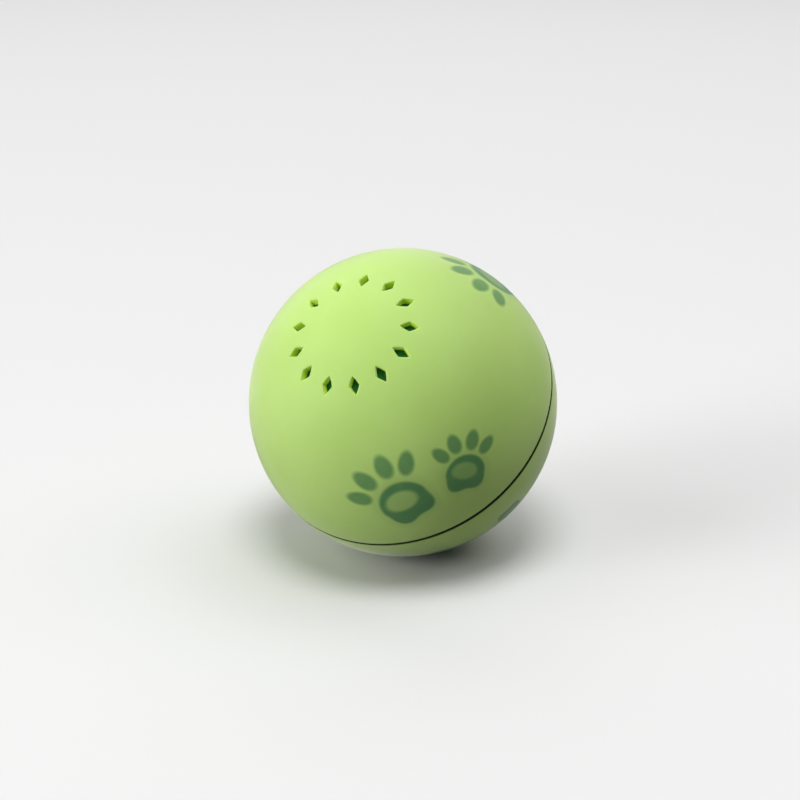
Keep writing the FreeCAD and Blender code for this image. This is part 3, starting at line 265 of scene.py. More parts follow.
def pieceFromGrids(name, grids, material, sharpAngle=35.0):
    # grids: arrays (rows, columns, 3) in mm about the axle, each closed round its columns;
    # shared rims are merged, so neighbouring grids become one skin
    points, faces, start = [], [], 0
    for grid in grids:
        grid = np.asarray(grid, float)
        rows, columns = grid.shape[:2]
        points.append(grid.reshape(-1, 3))
        faces.append(gridFaces(rows, columns, start))
        start += rows * columns
    points, faces = np.concatenate(points), np.concatenate(faces)
    mesh = bpy.data.meshes.new(name)
    mesh.from_pydata(laidOver(points).tolist(), [], faces.tolist())
    work = bmesh.new()
    work.from_mesh(mesh)
    bmesh.ops.remove_doubles(work, verts=work.verts, dist=ball["mergeWithin"])
    bmesh.ops.recalc_face_normals(work, faces=work.faces)
    work.to_mesh(mesh)
    work.free()
    mesh.shade_smooth()
    mesh.set_sharp_from_angle(angle=math.radians(sharpAngle))
    mesh.materials.append(material)
    piece = bpy.data.objects.new(name, mesh)
    bpy.context.collection.objects.link(piece)
    return piece


def revolved(profile, angles):
    # (r, z) carried round the axle: (r cos a, r sin a, z)
    r, z = np.asarray(profile, float).T
    a = np.asarray(angles, float)
    r, z = r[:, None], np.repeat(z[:, None], a.size, 1)
    return np.stack([r * np.cos(a), r * np.sin(a), z], -1)


def arcProfile(radius, firstPolar, lastPolar, steps):
    # points of a sphere's outline: (R sin p, R cos p), p in degrees from the pole
    p = np.radians(np.linspace(firstPolar, lastPolar, steps))
    return np.stack([radius * np.sin(p), radius * np.cos(p)], -1)


def cornerProfile(centre, radius, firstAngle, lastAngle, steps=6):
    # a rounding in the (r, z) plane: (r0 + R cos a, z0 + R sin a), a in degrees
    a = np.radians(np.linspace(firstAngle, lastAngle, steps))
    return np.stack([centre[0] + radius * np.cos(a), centre[1] + radius * np.sin(a)], -1)


def helicalRidge(section, startAngle, turns, lead, steps=28):
    # the section (r, z) climbs as it turns: z + lead * turn, ends drawn in to their middle
    section = np.asarray(section, float)
    turn = np.linspace(0, turns, steps)[:, None]
    a = math.radians(startAngle) + 2 * math.pi * turn
    r, z = section[:, 0][None], section[:, 1][None] + lead * turn
    ridge = np.stack([r * np.cos(a), r * np.sin(a), z], -1)
    ends = [np.repeat(ridge[k].mean(0)[None], section.shape[0], 0)[None] for k in (0, -1)]
    return np.concatenate([ends[0], ridge, ends[1]])


def roundAngles():
    # the angles that the lower shell and the screen are turned on: a whole turn in even steps
    return np.radians(np.arange(ball["columns"]) * 360 / ball["columns"])


def seamCorner(side):
    # the rounded edge at the seam, above it (side 1) or below it (side -1), and the polar angle
    # where it starts: a circle of radius s inside the sphere, its centre at the height gap + s
    # and sqrt((R - s)^2 - (gap + s)^2) from the axle
    outer, seamRound = ball["radius"], ball["seamRound"]
    rise = ball["halfGap"] + seamRound
    centreR = math.sqrt((outer - seamRound) ** 2 - rise**2)
    polar = math.degrees(math.atan2(centreR, side * rise))
    return polar, cornerProfile((centreR, side * rise), seamRound, 90 - polar, -90 * side)[1:]


def lugRidges(root, tip, middle, turns):
    # lugs at even spacing round the axle, wide at the foot and narrow at the crest; each is that
    # section carried up a helix
    foot, crest = ball["lugFootHalf"], ball["lugCrestHalf"]
    halves = ((root, -foot), (tip, -crest), (tip, crest), (root, foot))
    section = [(r, middle + half) for r, half in halves]
    starts = np.arange(ball["lugs"]) * 360 / ball["lugs"]
    return [helicalRidge(section, start, turns, ball["lugLead"]) for start in starts]


def prism(corners, low, high):
    # a flat outline (n, 2) carried from z = low to z = high, both ends drawn in to the middle
    corners = np.asarray(corners, float)
    middle = np.repeat(corners.mean(0)[None], len(corners), 0)
    rows = [(middle, low), (corners, low), (corners, high), (middle, high)]
    return np.stack([np.column_stack([outline, np.full(len(outline), z)]) for outline, z in rows])


# Soft-touch shell skin, with the printed paws
skin = {
    "green": (187, 220, 126),
    "deepGreen": (182, 216, 119),
    # painted glow: the slot walls get a lighter yellow-green, standing in for light that shines
    # through the thin plastic there
    "slotWallPaintedGlow": (214, 242, 84),
    "inside": (150, 198, 78),
    # painted shade: the dark colour laid in the seam gap, standing in for the shadow there
    "seamPaintedShade": (30, 46, 14),
    "roughness": 0.58,
    "sheen": 0.6,
    "sheenRoughness": 0.32,
    "sheenTint": (1.0, 0.98, 0.95, 1.0),
    "gloss": 0.12,
    "glow": 0.45,
    "glowReach": (0.9, 1.0, 0.45),
    "glowDepth": 0.0016,
    "mottleScale": 45.0,
    "grain": (2600.0, 2.0, 0.6),  # scale, detail and roughness of the noise
    "grainDepth": 0.000012,
    "grainStrength": 0.6,
    "grainRoughness": 0.1,
    "inkSmoothness": 0.04,
    # fades over the distance from the ball's centre, in mm
    "inkDepth": (39.35, 39.6),
    "slotDepth": (39.95, 39.6),
    "insideDepth": (38.25, 38.05),
    "seamEdge": (39.98, 39.86),
    "seamFoot": (39.0, 39.35),
    # the painted seam shade's fade over the height along the axle, and the height above which
    # slots lie
    "seamFade": (0.85, 0.5),
    "slotHeight": 33.0,
    "slotShare": 0.9,
    "paw": (34, 116, 74),
    "pawInk": 0.76,
    "inkNoise": (260.0, 0.12),  # scale, and how much it adds to the ink
    "pawEdge": 0.6,
}

# each paw: angle from the pole, angle round the axle, heading (0 has the toes towards the pole),
# size, how far the toes are drawn in and how clear the patch in its pad is; three pairs on each
# half, a third of a turn apart
paws = [
    (67.0, -60.6, 22.8, 1.0, 0.0, 0.68),
    (68.2, -34.7, -30.2, 0.8, 0.05, 0.4),
    (68.7, 59.5, 11.6, 1.02, 0.0, 0.3),
    (72.0, 98.0, -30.2, 0.8, 0.05, 0.4),
    (70.0, 144.0, 22.8, 1.0, 0.0, 0.68),
    (70.0, 172.0, -30.2, 0.8, 0.05, 0.4),
    (110.0, -30.0, 180.0, 0.6, 0.0, 0.25),
    (118.0, -60.0, 160.0, 0.95, 0.0, 0.5),
    (110.0, 90.0, 180.0, 0.6, 0.0, 0.25),
    (118.0, 60.0, 160.0, 0.95, 0.0, 0.5),
    (110.0, -150.0, 180.0, 0.6, 0.0, 0.25),
    (118.0, 180.0, 160.0, 0.95, 0.0, 0.5),
]
pawShape = {
    "padSize": 6.45,
    "padFlat": 0.65,
    "padLobes": 0.95,
    "bleed": (3.0, -0.5),
    "bleedInk": 0.16,
    "patchEdge": (1.25, 0.8),
    "toeTaper": 0.08,
    "toes": [  # middle x, middle y, half width, half length, lean in degrees
        (-7.8, 7.3, 1.95, 3.1, 47.0),
        (-3.1, 10.2, 2.15, 3.15, 17.0),
        (3.1, 10.2, 2.15, 3.15, -17.0),
        (7.8, 7.3, 1.95, 3.1, -47.0),
    ],
    "toeInk": 0.88,
    "toeRadius": 2.2,
    "patch": (-0.3, 0.5, 4.0, 2.8, -11.0),
}


def pawAxes(polar, azimuth, heading):
    # sideways, toe and outward directions of a paw, over the laid axle: outward = (sin p cos a,
    # sin p sin a, cos p), toes = poleward cos h + (outward x poleward) sin h
    p, a, h = (math.radians(v) for v in (polar, azimuth, heading))
    outward = np.array([math.sin(p) * math.cos(a), math.sin(p) * math.sin(a), math.cos(p)])
    poleward = np.array([-math.cos(p) * math.cos(a), -math.cos(p) * math.sin(a), math.sin(p)])
    toes = poleward * math.cos(h) + np.cross(outward, poleward) * math.sin(h)
    out, up = (Vector(laidOver(v) * 1000) for v in (outward, toes))
    return up.cross(out), up, out


def pawCoordinates(place):
    # every paw turns and scales space so that its own pad lies at (0, 0) with its toes up +Y,
    # in mm; the paw whose middle is nearest wins
    chosen = best = drawn = clear = None
    for polar, azimuth, heading, size, drawIn, clearness in paws:
        turn = Matrix(pawAxes(polar, azimuth, heading)).to_euler()
        mapped = place.add(
            "Mapping",
            {"vector_type": "POINT"},
            {"Vector": place, "Rotation": tuple(turn), "Scale": (1000 / size,) * 3},
        )
        height = mapped.parts()[2] * size
        if chosen is None:
            chosen, best = mapped, height
            drawn, clear = height * 0.0 + drawIn, height * 0.0 + clearness
        else:
            nearer = height > best
            chosen = nearer.blendVector(chosen, mapped)
            drawn = drawn + nearer * (drawIn - drawn)
            clear = clear + nearer * (clearness - clear)
            best = height.atLeast(best)
    x, y, _ = chosen.parts()
    return x, y, 1.0 - drawn, clear


def ovalDistance(x, y, reachIn, oval):
    # sqrt(u^2 + v^2), 1 on a leaning oval's edge and less inside: u across and v along it, in
    # half widths and half lengths, with u times (1 + taper v) so that it narrows to its tip
    middleX, middleY, halfWidth, halfLength, lean = oval
    cosLean, sinLean = math.cos(math.radians(lean)), math.sin(math.radians(lean))
    across = x * cosLean + y * sinLean - reachIn * (middleX * cosLean + middleY * sinLean)
    along = y * cosLean - x * sinLean - reachIn * (middleY * cosLean - middleX * sinLean)
    along = along / halfLength
    across = across / halfWidth * (1.0 + pawShape["toeTaper"] * along)
    return (across * across + along * along).root()


def pawMasks(place):
    # pad: r < size - flat s + lobes, s = y / r, c = x / r, lobes = L max(0, -s) (8 s^2 c^2 - 1);
    # toes and the unprinted patch in the pad: ovals; ink spreads faintly past the pad's edge
    x, y, reachIn, clear = pawCoordinates(place)
    edge, toeEdge = skin["pawEdge"], skin["pawEdge"] / pawShape["toeRadius"]
    r = (x * x + y * y + 1e-4).root()
    s, c = y / r, x / r
    lobes = (0 - s).atLeast(0.0) * (8.0 * (s * s) * (c * c) - 1.0) * pawShape["padLobes"]
    fromPad = r - (pawShape["padSize"] - pawShape["padFlat"] * s + lobes)
    bleed = fromPad.fade(*pawShape["bleed"]) * pawShape["bleedInk"]
    mask = fromPad.fade(edge, -edge).atLeast(bleed)
    for toe in pawShape["toes"]:
        inToe = ovalDistance(x, y, reachIn, toe).fade(1.0 + toeEdge, 1.0 - toeEdge)
        mask = mask.atLeast(inToe * pawShape["toeInk"])
    patch = ovalDistance(x, y, 1.0, pawShape["patch"]).fade(*pawShape["patchEdge"])
    return mask, patch * clear


def shellSkin(name):
    material, place = newMaterial(
        name,
        Sheen_Weight=skin["sheen"],
        Sheen_Roughness=skin["sheenRoughness"],
        Sheen_Tint=skin["sheenTint"],
        Specular_IOR_Level=skin["gloss"],
        Subsurface_Weight=skin["glow"],
        Subsurface_Radius=skin["glowReach"],
        Subsurface_Scale=skin["glowDepth"],
    )
    depth = place.vector("LENGTH", place, out=1) * 1000.0
    height = aboutAxle(place)[2]
    mottle = place.noise(skin["mottleScale"], 2.0).fade(0.3, 0.7)
    green = mottle.blendColour(srgb(*skin["green"]), srgb(*skin["deepGreen"]))
    mask, patch = pawMasks(place)
    scale, amount = skin["inkNoise"]
    ink = skin["pawInk"] + place.noise(scale, 2.0) * amount
    printed = mask * (1.0 - patch) * ink * depth.fade(*skin["inkDepth"])
    colour = printed.blendColour(green, srgb(*skin["paw"]))
    # painted glow: the slot walls are painted a lighter yellow-green, standing in for light that
    # shines through the thin plastic there
    paintedSlotGlow = (height > skin["slotHeight"]) * depth.fade(*skin["slotDepth"])
    colour = (paintedSlotGlow * skin["slotShare"]).blendColour(colour, srgb(*skin["slotWallPaintedGlow"]))
    colour = depth.fade(*skin["insideDepth"]).blendColour(colour, srgb(*skin["inside"]))
    # painted shade: the seam gap's rounded edges are painted dark, standing in for the shadow in
    # the gap
    nearSeam = abs(height).fade(*skin["seamFade"])
    seamShadeMask = nearSeam * depth.fade(*skin["seamEdge"]) * depth.fade(*skin["seamFoot"])
    colour = seamShadeMask.blendColour(colour, srgb(*skin["seamPaintedShade"]))
    fine = place.noise(*skin["grain"])
    roughness = skin["roughness"] + (fine - 0.5) * skin["grainRoughness"]
    return finishMaterial(
        material,
        Base_Color=colour,
        Roughness=roughness - mask * skin["inkSmoothness"],
        Normal=fine.bump(skin["grainDepth"], skin["grainStrength"]),
    )


upperSkin = shellSkin("shell_plastic_upper")
lowerSkin = shellSkin("shell_plastic_lower")
print("shell skin made")

# Upper shell
upper = {
    "slotCount": 13,
    "ringAngle": 21.7,
    "ringStart": 16.3,
    "ringReach": 10.3,
    "slotLength": 4.45,
    "slotWidth": 2.48,
    "slotSquareness": 1.14,
    "slotRound": 0.34,
    "columnsPerSlot": 12,
    "landRadius": 36.8,
    "landTop": 9.5,
    "bossRadius": 6.6,
    "bossFlare": 0.8,
    "bossLow": 31.7,
    "recessTop": 35.1,
    "recessFlats": 8.24,
    "landBevel": 0.4,
    "lugTip": 35.9,
    "lugCentre": 2.15,
    "lugTurns": 0.11,
    "bossBevel": 0.3,
    "recessColumn": 7,
    "outerRows": 30,
    "innerRows": 20,
    "capRows": 7,
    "rimSteps": (0.05, 0.12, 0.22, 0.36, 0.52, 0.68, 0.84, 1.0),
    "mouthSteps": 5,
}


def slotPatches(radius, rimSteps, offsets, depths):
    # one patch per slot in the slot's own tangent plane: a runs away from the pole, b round the
    # ring; the rim is |a / A|^p + |b / B|^p = 1 in angle form, rows go from it to the sector's
    # edge by (1 - t) rim + t edge, and points are lifted to sqrt(R^2 - a^2 - b^2) less their depth
    count, per = upper["slotCount"], upper["columnsPerSlot"]
    angle = math.radians(upper["ringAngle"])
    reach = math.radians(upper["ringReach"])
    half = math.pi / count
    side = np.linspace(-1, 1, per + 1)
    arc = side * half
    outerArc = np.stack([np.full(per + 1, angle + reach), arc], -1)
    innerArc = np.stack([np.full(per + 1, angle - reach), arc[::-1]], -1)
    down = np.stack([angle - side * reach, np.full(per + 1, half)], -1)
    back = np.stack([angle + side * reach, np.full(per + 1, -half)], -1)
    middle = per // 2
    edge = np.concatenate(
        [outerArc[middle:-1], down[:-1], innerArc[:-1], back[:-1], outerArc[:middle]]
    )
    p, w = edge[:, 0], edge[:, 1]
    point = np.stack([np.sin(p) * np.cos(w), np.sin(p) * np.sin(w), np.cos(p)], -1) * radius
    away = np.array([math.cos(angle), 0, -math.sin(angle)])
    out = np.array([math.sin(angle), 0, math.cos(angle)])
    edgeA, edgeB = point @ away, point[:, 1]
    theta = np.linspace(0, 2 * math.pi, len(edge), endpoint=False)
    power = 2 / upper["slotSquareness"]
    cosine, sine = np.cos(theta), np.sin(theta)
    bulgeA, bulgeB = np.sign(cosine) * abs(cosine) ** power, np.sign(sine) * abs(sine) ** power
    offsets, depths = np.asarray(offsets)[:, None], np.asarray(depths)[:, None]
    rimA = (upper["slotLength"] / 2 + offsets) * bulgeA
    rimB = (upper["slotWidth"] / 2 + offsets) * bulgeB
    t = np.asarray(rimSteps)[:, None]
    spreadA = rimA[-1] * (1 - t) + edgeA * t
    spreadB = rimB[-1] * (1 - t) + edgeB * t
    a, b = np.concatenate([rimA, spreadA]), np.concatenate([rimB, spreadB])
    drop = np.concatenate([np.broadcast_to(depths, rimA.shape), np.zeros_like(spreadA)])
    lift = np.sqrt(radius**2 - a**2 - b**2) - drop
    patch = a[..., None] * away + b[..., None] * np.array([0, 1.0, 0]) + lift[..., None] * out
    patches = []
    for slot in range(count):
        turn = math.radians(upper["ringStart"]) + slot * 2 * half
        c, s = math.cos(turn), math.sin(turn)
        x, y, z = np.moveaxis(patch, -1, 0)
        patches.append(np.stack([x * c - y * s, x * s + y * c, z], -1))
    return patches


def makeUpperShell():
    # one skin: the sphere's outline from the slot ring to the seam, then the land and the inner
    # sphere, turned about the axle; cap, boss and recess close the pole, patches fill the ring
    outer, inner = ball["radius"], ball["radius"] - ball["wall"]
    count, per = upper["slotCount"], upper["columnsPerSlot"]
    columns = count * per
    first = upper["ringStart"] - 180 / count
    angles = np.radians(first + np.arange(columns) * 360 / columns)
    ringLow = upper["ringAngle"] - upper["ringReach"]
    ringHigh = upper["ringAngle"] + upper["ringReach"]
    seamPolar, seamRows = seamCorner(1)
    outerRows = arcProfile(outer, ringHigh, seamPolar, upper["outerRows"])
    innerTopPolar = math.degrees(math.acos((upper["landTop"] + upper["landBevel"]) / inner))
    landRows = [(upper["landRadius"], height) for height in (ball["halfGap"], upper["landTop"])]
    innerRows = arcProfile(inner, innerTopPolar, ringHigh, upper["innerRows"])
    side = revolved(np.concatenate([outerRows, seamRows, landRows, innerRows]), angles)
    cap = revolved(arcProfile(outer, 0, ringLow, upper["capRows"]), angles)
    bossRadius, bossLow, bevel = upper["bossRadius"], upper["bossLow"], upper["bossBevel"]
    bossFoot = bossRadius + upper["bossFlare"]
    bossRows = [
        (bossRadius, math.sqrt(inner**2 - bossFoot**2) - upper["bossFlare"]),
        (bossRadius, bossLow + bevel),
        (bossRadius - bevel, bossLow),
    ]
    landing = arcProfile(inner, ringLow, math.degrees(math.asin(bossFoot / inner)), 3)
    boss = revolved(np.concatenate([landing, bossRows]), angles)
    # hexagonal recess: r = f / cos(a mod 60 - 30), with its corners on whole columns
    chosen = angles[upper["recessColumn"]]
    hexAngles = angles - (chosen - math.radians(round(math.degrees(chosen) / 60) * 60))
    apothem = upper["recessFlats"] / 2
    corner = np.mod(hexAngles, math.radians(60)) - math.radians(30)
    hexRadius = apothem / np.cos(corner)
    rows = []
    for share, z in ((1, bossLow), (1, upper["recessTop"]), (0, upper["recessTop"])):
        x, y = (hexRadius * share * turned for turned in (np.cos(hexAngles), np.sin(hexAngles)))
        rows.append(np.stack([x, y, np.full(columns, z)], -1))
    recess = np.concatenate([boss[-1:], np.stack(rows)])
    # the slot's mouth rounds over: from square on to the wall, to flush with the skin
    over = np.radians(np.linspace(90, 0, upper["mouthSteps"]))
    offsets = upper["slotRound"] * (1 - np.sin(over))
    depths = upper["slotRound"] * (1 - np.cos(over))
    outside = slotPatches(outer, upper["rimSteps"], offsets, depths)
    inside = slotPatches(inner, upper["rimSteps"], [0.0], [0.0])
    shares = (0.0, 0.33, 0.67, 1.0)  # the slot's wall, from the outer rim to the inner one
    walls = [
        np.concatenate([out[:1] * (1 - share) + within[:1] * share for share in shares])
        for out, within in zip(outside, inside)
    ]
    grids = [cap, side, boss, recess, *outside, *inside, *walls]
    root = upper["landRadius"] + ball["lugSink"]
    grids += lugRidges(root, upper["lugTip"], upper["lugCentre"], upper["lugTurns"])
    shell = pieceFromGrids("upper_shell", grids, upperSkin)
    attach(shell, "lid")
    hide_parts("grille_shell")


makeUpperShell()
print("upper shell made")

# Dust screen behind the slots: a thin dark ring against the shell's inner wall
screen = {
    "outer": 37.9,
    "thickness": 0.5,
    "from": 12.4,
    "to": 31.0,
    "colour": (24, 96, 52),
    "threadColour": (44, 128, 74),
    "threadPitch": 0.42,
    "threadFade": (0.2, 0.9),
    "threadBump": 0.00006,
    "roughness": (0.7, 0.08),
    "rows": 9,
}


def screenWeave():
    # crossed threads: two sine waves across the axle, of which the higher one shows
    material, place = newMaterial("slot_screen", Specular_IOR_Level=0.25)
    x, y, _ = aboutAxle(place)
    pitch = 2 * math.pi / screen["threadPitch"]
    threads = (x * pitch).sine().atLeast((y * pitch).sine())
    gap, thread = srgb(*screen["colour"]), srgb(*screen["threadColour"])
    base, rise = screen["roughness"]
    return finishMaterial(
        material,
        Base_Color=threads.fade(*screen["threadFade"]).blendColour(gap, thread),
        Roughness=base + threads * rise,
        Normal=threads.bump(screen["threadBump"], 0.5),
    )


def makeScreen():
    # a ring between two spheres: the outer arc, then the inner one back, turned about the axle
    outer, inner = screen["outer"], screen["outer"] - screen["thickness"]
    first, last = screen["from"], screen["to"]
    over = arcProfile(outer, first, last, screen["rows"])
    under = arcProfile(inner, last, first, screen["rows"])
    ring = revolved(np.concatenate([over, under, over[:1]]), roundAngles())
    piece = pieceFromGrids("slot_screen", [ring], screenWeave())
    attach(piece, "lid")


makeScreen()
print("dust screen made")

# Lower shell
lower = {
    "grooveOuter": 37.05,
    "grooveFloor": -1.15,
    "collarOuter": 35.6,
    "collarInner": 34.2,
    "collarTop": 9.0,
    "collarRoot": -3.85,
    "taperEnd": -7.65,
    "hubRadius": 9.0,
    "hubFoot": 7.8,
    "hubTop": -34.0,
    "collarBevel": 0.5,
    "collarEdge": 0.15,
    "lugTip": 36.5,
    "lugCentre": 3.9,
    "lugTurns": 0.14,
    "outerRows": 42,
    "innerRows": 20,
    "ribs": 6,
    "ribHalf": 0.6,
    "ribDrop": 0.5,
    "ribSink": 0.6,
    "ribSlope": 4.0,
}


def makeLowerShell():
    # the outline of sphere, seam edge, groove, collar, inner sphere and hub, turned about the
    # axle; the ribs are flat outlines (r, z) of even thickness, set upright round the hub
    outer, inner = ball["radius"], ball["radius"] - ball["wall"]
    p = lower
    seamPolar, seamRows = seamCorner(-1)
    outerRows = arcProfile(outer, 180, seamPolar, p["outerRows"])
    taperPolar = math.degrees(math.acos(p["taperEnd"] / inner))
    lastPolar = 180 - math.degrees(math.asin(p["hubFoot"] / inner))
    collarOuter, collarTop = p["collarOuter"], p["collarTop"]
    bevel, edge = p["collarBevel"], p["collarEdge"]
    collar = [
        (p["grooveOuter"], -ball["halfGap"]),
        (p["grooveOuter"], p["grooveFloor"]),
        (collarOuter, p["grooveFloor"]),
        (collarOuter, collarTop - bevel),
        (collarOuter - edge, collarTop - edge),
        (collarOuter - bevel, collarTop),
        (p["collarInner"], collarTop),
        (p["collarInner"], p["collarRoot"]),
    ]
    innerRows = arcProfile(inner, taperPolar, lastPolar, p["innerRows"])
    hub = [(p["hubRadius"], p["hubTop"]), (0.0, p["hubTop"])]
    profile = np.concatenate([outerRows, seamRows, collar, innerRows, hub])
    grids = [revolved(profile, roundAngles())]
    grids += lugRidges(collarOuter - ball["lugSink"], p["lugTip"], p["lugCentre"], p["lugTurns"])
    ribTop, near = p["hubTop"] - p["ribDrop"], p["hubFoot"] - p["ribSink"]
    deep = inner + p["ribSink"]
    reach = math.sqrt(inner**2 - ribTop**2) + p["ribSink"]
    end = reach - p["ribSlope"]
    outline = [(near, ribTop), (reach, ribTop)]
    outline += [(r, -math.sqrt(deep**2 - r**2)) for r in (end, near)]
    for rib in range(p["ribs"]):
        a = rib * 2 * math.pi / p["ribs"]
        flat = prism(outline, -p["ribHalf"], p["ribHalf"])
        r, z, w = flat[..., 0], flat[..., 1], flat[..., 2]
        c, s = math.cos(a), math.sin(a)
        grids.append(np.stack([r * c - w * s, r * s + w * c, z], -1))
    shell = pieceFromGrids("lower_shell", grids, lowerSkin)
    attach(shell, "root")
    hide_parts("base_shell")


makeLowerShell()
print("lower shell made")


# Finishes of the inner pieces
moulded = {"gloss": 0.45, "cloudScale": 90.0, "grainScale": 900.0, "grainDepth": 0.00002}


def mouldedPlastic(name, colour, roughness, mottle=0.08):
    # faint cloudy colour, a fine moulded grain
    material, place = newMaterial(name, Specular_IOR_Level=moulded["gloss"])
    cloud = place.noise(moulded["cloudScale"], 3.0).fade(0.3, 0.7)
    dark = tuple(c * (1 - mottle * 2) for c in srgb(*colour))
    light = tuple(min(c * (1 + mottle), 1.0) for c in srgb(*colour))
    fine = place.noise(moulded["grainScale"], 2.0)
    return finishMaterial(
        material,
        Base_Color=cloud.blendColour(dark, light),
        Roughness=roughness + (fine - 0.5) * 0.25,
        Normal=fine.bump(moulded["grainDepth"], 0.5),
    )


worked = {"spotScale": 130.0, "darkShare": 0.72, "lineDepth": 0.00001}


def workedMetal(name, colour, roughness, stretch=(1.0, 1.0, 1.0), scale=500.0, dull=0.1):
    # drawn or turned metal: noise pulled out along one way, with a few duller spots
    material, place = newMaterial(name, Metallic=1.0)
    pulled = place.vector("MULTIPLY", place, stretch)
    line = pulled.noise(scale, 3.0)
    spots = place.noise(worked["spotScale"], 2.0).fade(0.45, 0.75)
    dark = tuple(c * worked["darkShare"] for c in srgb(*colour))
    return finishMaterial(
        material,
        Base_Color=(line.fade(0.3, 0.7) * 0.4 + spots * 0.3).blendColour(srgb(*colour), dark),
        Roughness=roughness + line * 0.14 + spots * dull,
        Normal=line.bump(worked["lineDepth"], 0.4),
    )


cell = {
    "sleeve": (34, 36, 40),
    "band": (196, 122, 62),
    "line": (225, 225, 220),
    "bareEnd": (190, 190, 188),
    # fades over the height along the axle, in mm
    "bandFade": (9.4, 9.7),
    "lineHeight": 9.5,
    "lineFade": (0.7, 0.5),
    "topFade": (22.4, 22.7),
    "footFade": (-23.3, -23.6),
    "coat": 0.4,
}


def cellWrap():
    # printed sleeve: dark, copper-coloured above a pale line, with bare metal at both ends
    material, place = newMaterial("cell_wrap", Coat_Roughness=0.2)
    height = aboutAxle(place)[2]
    band = height.fade(*cell["bandFade"])
    line = abs(height - cell["lineHeight"]).fade(*cell["lineFade"])
    ends = (height.fade(*cell["topFade"]) + height.fade(*cell["footFade"])).atMost(1.0)
    colour = band.blendColour(srgb(*cell["sleeve"]), srgb(*cell["band"]))
    colour = line.blendColour(colour, srgb(*cell["line"]))
    return finishMaterial(
        material,
        Base_Color=ends.blendColour(colour, srgb(*cell["bareEnd"])),
        Metallic=ends,
        Roughness=0.3 + place.noise(700.0, 2.0) * 0.12,
        Coat_Weight=cell["coat"] - ends * cell["coat"],
    )


board = {
    "trackPitch": 1.15,
    "trackHalf": 0.15,
    "trackOver": 0.04,  # how far the track's soft edge reaches out, and in
    "trackUnder": 0.02,
    "rowShift": 0.37,
    "tracks": ((5.3, 0.42), (7.1, 0.6)),  # lengths, and the share left bare: along x, along y
    "padHalf": 0.3,
    "padEdge": 0.03,
    "padsBare": 0.86,
    "under": 21.06,
    "top": 21.94,
    "rimFrom": 23.9,
    "mask": (18, 84, 48),
    "maskLight": (26, 104, 60),
    "track": (52, 132, 74),
    "pad": (196, 186, 150),
    "bareEdge": (178, 158, 104),
}


def boardTracks(along, across, length, bare):
    # each row of the grid is cut into lengths, and white noise says which lengths carry copper
    row = (across / board["trackPitch"]).floor()
    piece = (along / length + row * board["rowShift"]).floor()
    square = along.add("CombineXYZ", None, {0: piece, 1: row, 2: length})
    copper = square.add("TexWhiteNoise", None, {"Vector": square}) > bare
    offMiddle = abs(across / board["trackPitch"] - row - 0.5) * board["trackPitch"]
    half = board["trackHalf"]
    return offMiddle.fade(half + board["trackOver"], half - board["trackUnder"]) * copper


def boardPads(x, y, bare):
    # round pads where rows and columns of the grid cross
    column, row = (x / board["trackPitch"]).floor(), (y / board["trackPitch"]).floor()
    square = x.add("CombineXYZ", None, {0: column, 1: row, 2: 0.0})
    present = square.add("TexWhiteNoise", None, {"Vector": square}) > bare
    offX = (x / board["trackPitch"] - column - 0.5) * board["trackPitch"]
    offY = (y / board["trackPitch"] - row - 0.5) * board["trackPitch"]
    away = (offX * offX + offY * offY).root()
    half, edge = board["padHalf"], board["padEdge"]
    return away.fade(half + edge, half - edge) * present


def boardLaminate():
    # green solder mask over copper tracks and pads, tan bare edge
    material, place = newMaterial("board_laminate", Coat_Roughness=0.25)
    x, y, z = aboutAxle(place)
    alongX, alongY = board["tracks"]
    track = boardTracks(x, y, *alongX).atLeast(boardTracks(y, x, *alongY))
    pad = boardPads(x, y, board["padsBare"])
    edgeOn = (z - board["under"]).fade(-0.1, 0.0) * (z - board["top"]).fade(0.1, 0.0)
    rim = ((x * x + y * y).root() - board["rimFrom"]).fade(0.0, 0.05) * edgeOn
    green = place.noise(300.0, 2.0).blendColour(srgb(*board["mask"]), srgb(*board["maskLight"]))
    colour = track.blendColour(green, srgb(*board["track"]))
    colour = pad.blendColour(colour, srgb(*board["pad"]))
    colour = rim.blendColour(colour, srgb(*board["bareEdge"]))
    return finishMaterial(
        material,
        Base_Color=colour,
        Metallic=pad * 0.8,
        Roughness=0.34 + pad * 0.1,
        Coat_Weight=0.3 - pad * 0.3,
        Normal=(track + pad).bump(0.00004, 0.5),
    )


cone = {
    "radius": 15.2,
    "angle": 95,
    "ringRate": 5.2,
    "dark": (26, 25, 24),
    "light": (62, 58, 54),
    "depth": 0.00006,
}


def conePaper():
    # pressed paper: rings about the cone's own middle and short fibres
    material, place = newMaterial("cone_paper")
    x, y, _ = aboutAxle(place)
    r, a = cone["radius"], math.radians(cone["angle"])
    across = ((x - r * math.cos(a)) ** 2.0 + (y - r * math.sin(a)) ** 2.0).root()
    rings = (across * cone["ringRate"]).sine()
    fibres = place.noise(1500.0, 3.0, 0.7)
    return finishMaterial(
        material,
        Base_Color=fibres.blendColour(srgb(*cone["dark"]), srgb(*cone["light"])),
        Roughness=0.8 + fibres * 0.15,
        Normal=(rings * 0.5 + fibres).bump(cone["depth"], 0.7),
    )


can = {"metal": (196, 196, 194), "sleeve": (30, 44, 92), "sleeveFade": (26.15, 26.0)}


def canMetal():
    # bare aluminium top, and a dark blue sleeve below it
    material, place = newMaterial("can_metal")
    sleeve = aboutAxle(place)[2].fade(*can["sleeveFade"])
    return finishMaterial(
        material,
        Base_Color=sleeve.blendColour(srgb(*can["metal"]), srgb(*can["sleeve"])),
        Metallic=1.0 - sleeve,
        Roughness=0.3 + place.noise(900.0, 2.0) * 0.15,
    )


seal = {"dark": (18, 22, 16), "light": (34, 38, 30), "grainScale": 1200.0, "depth": 0.00002}


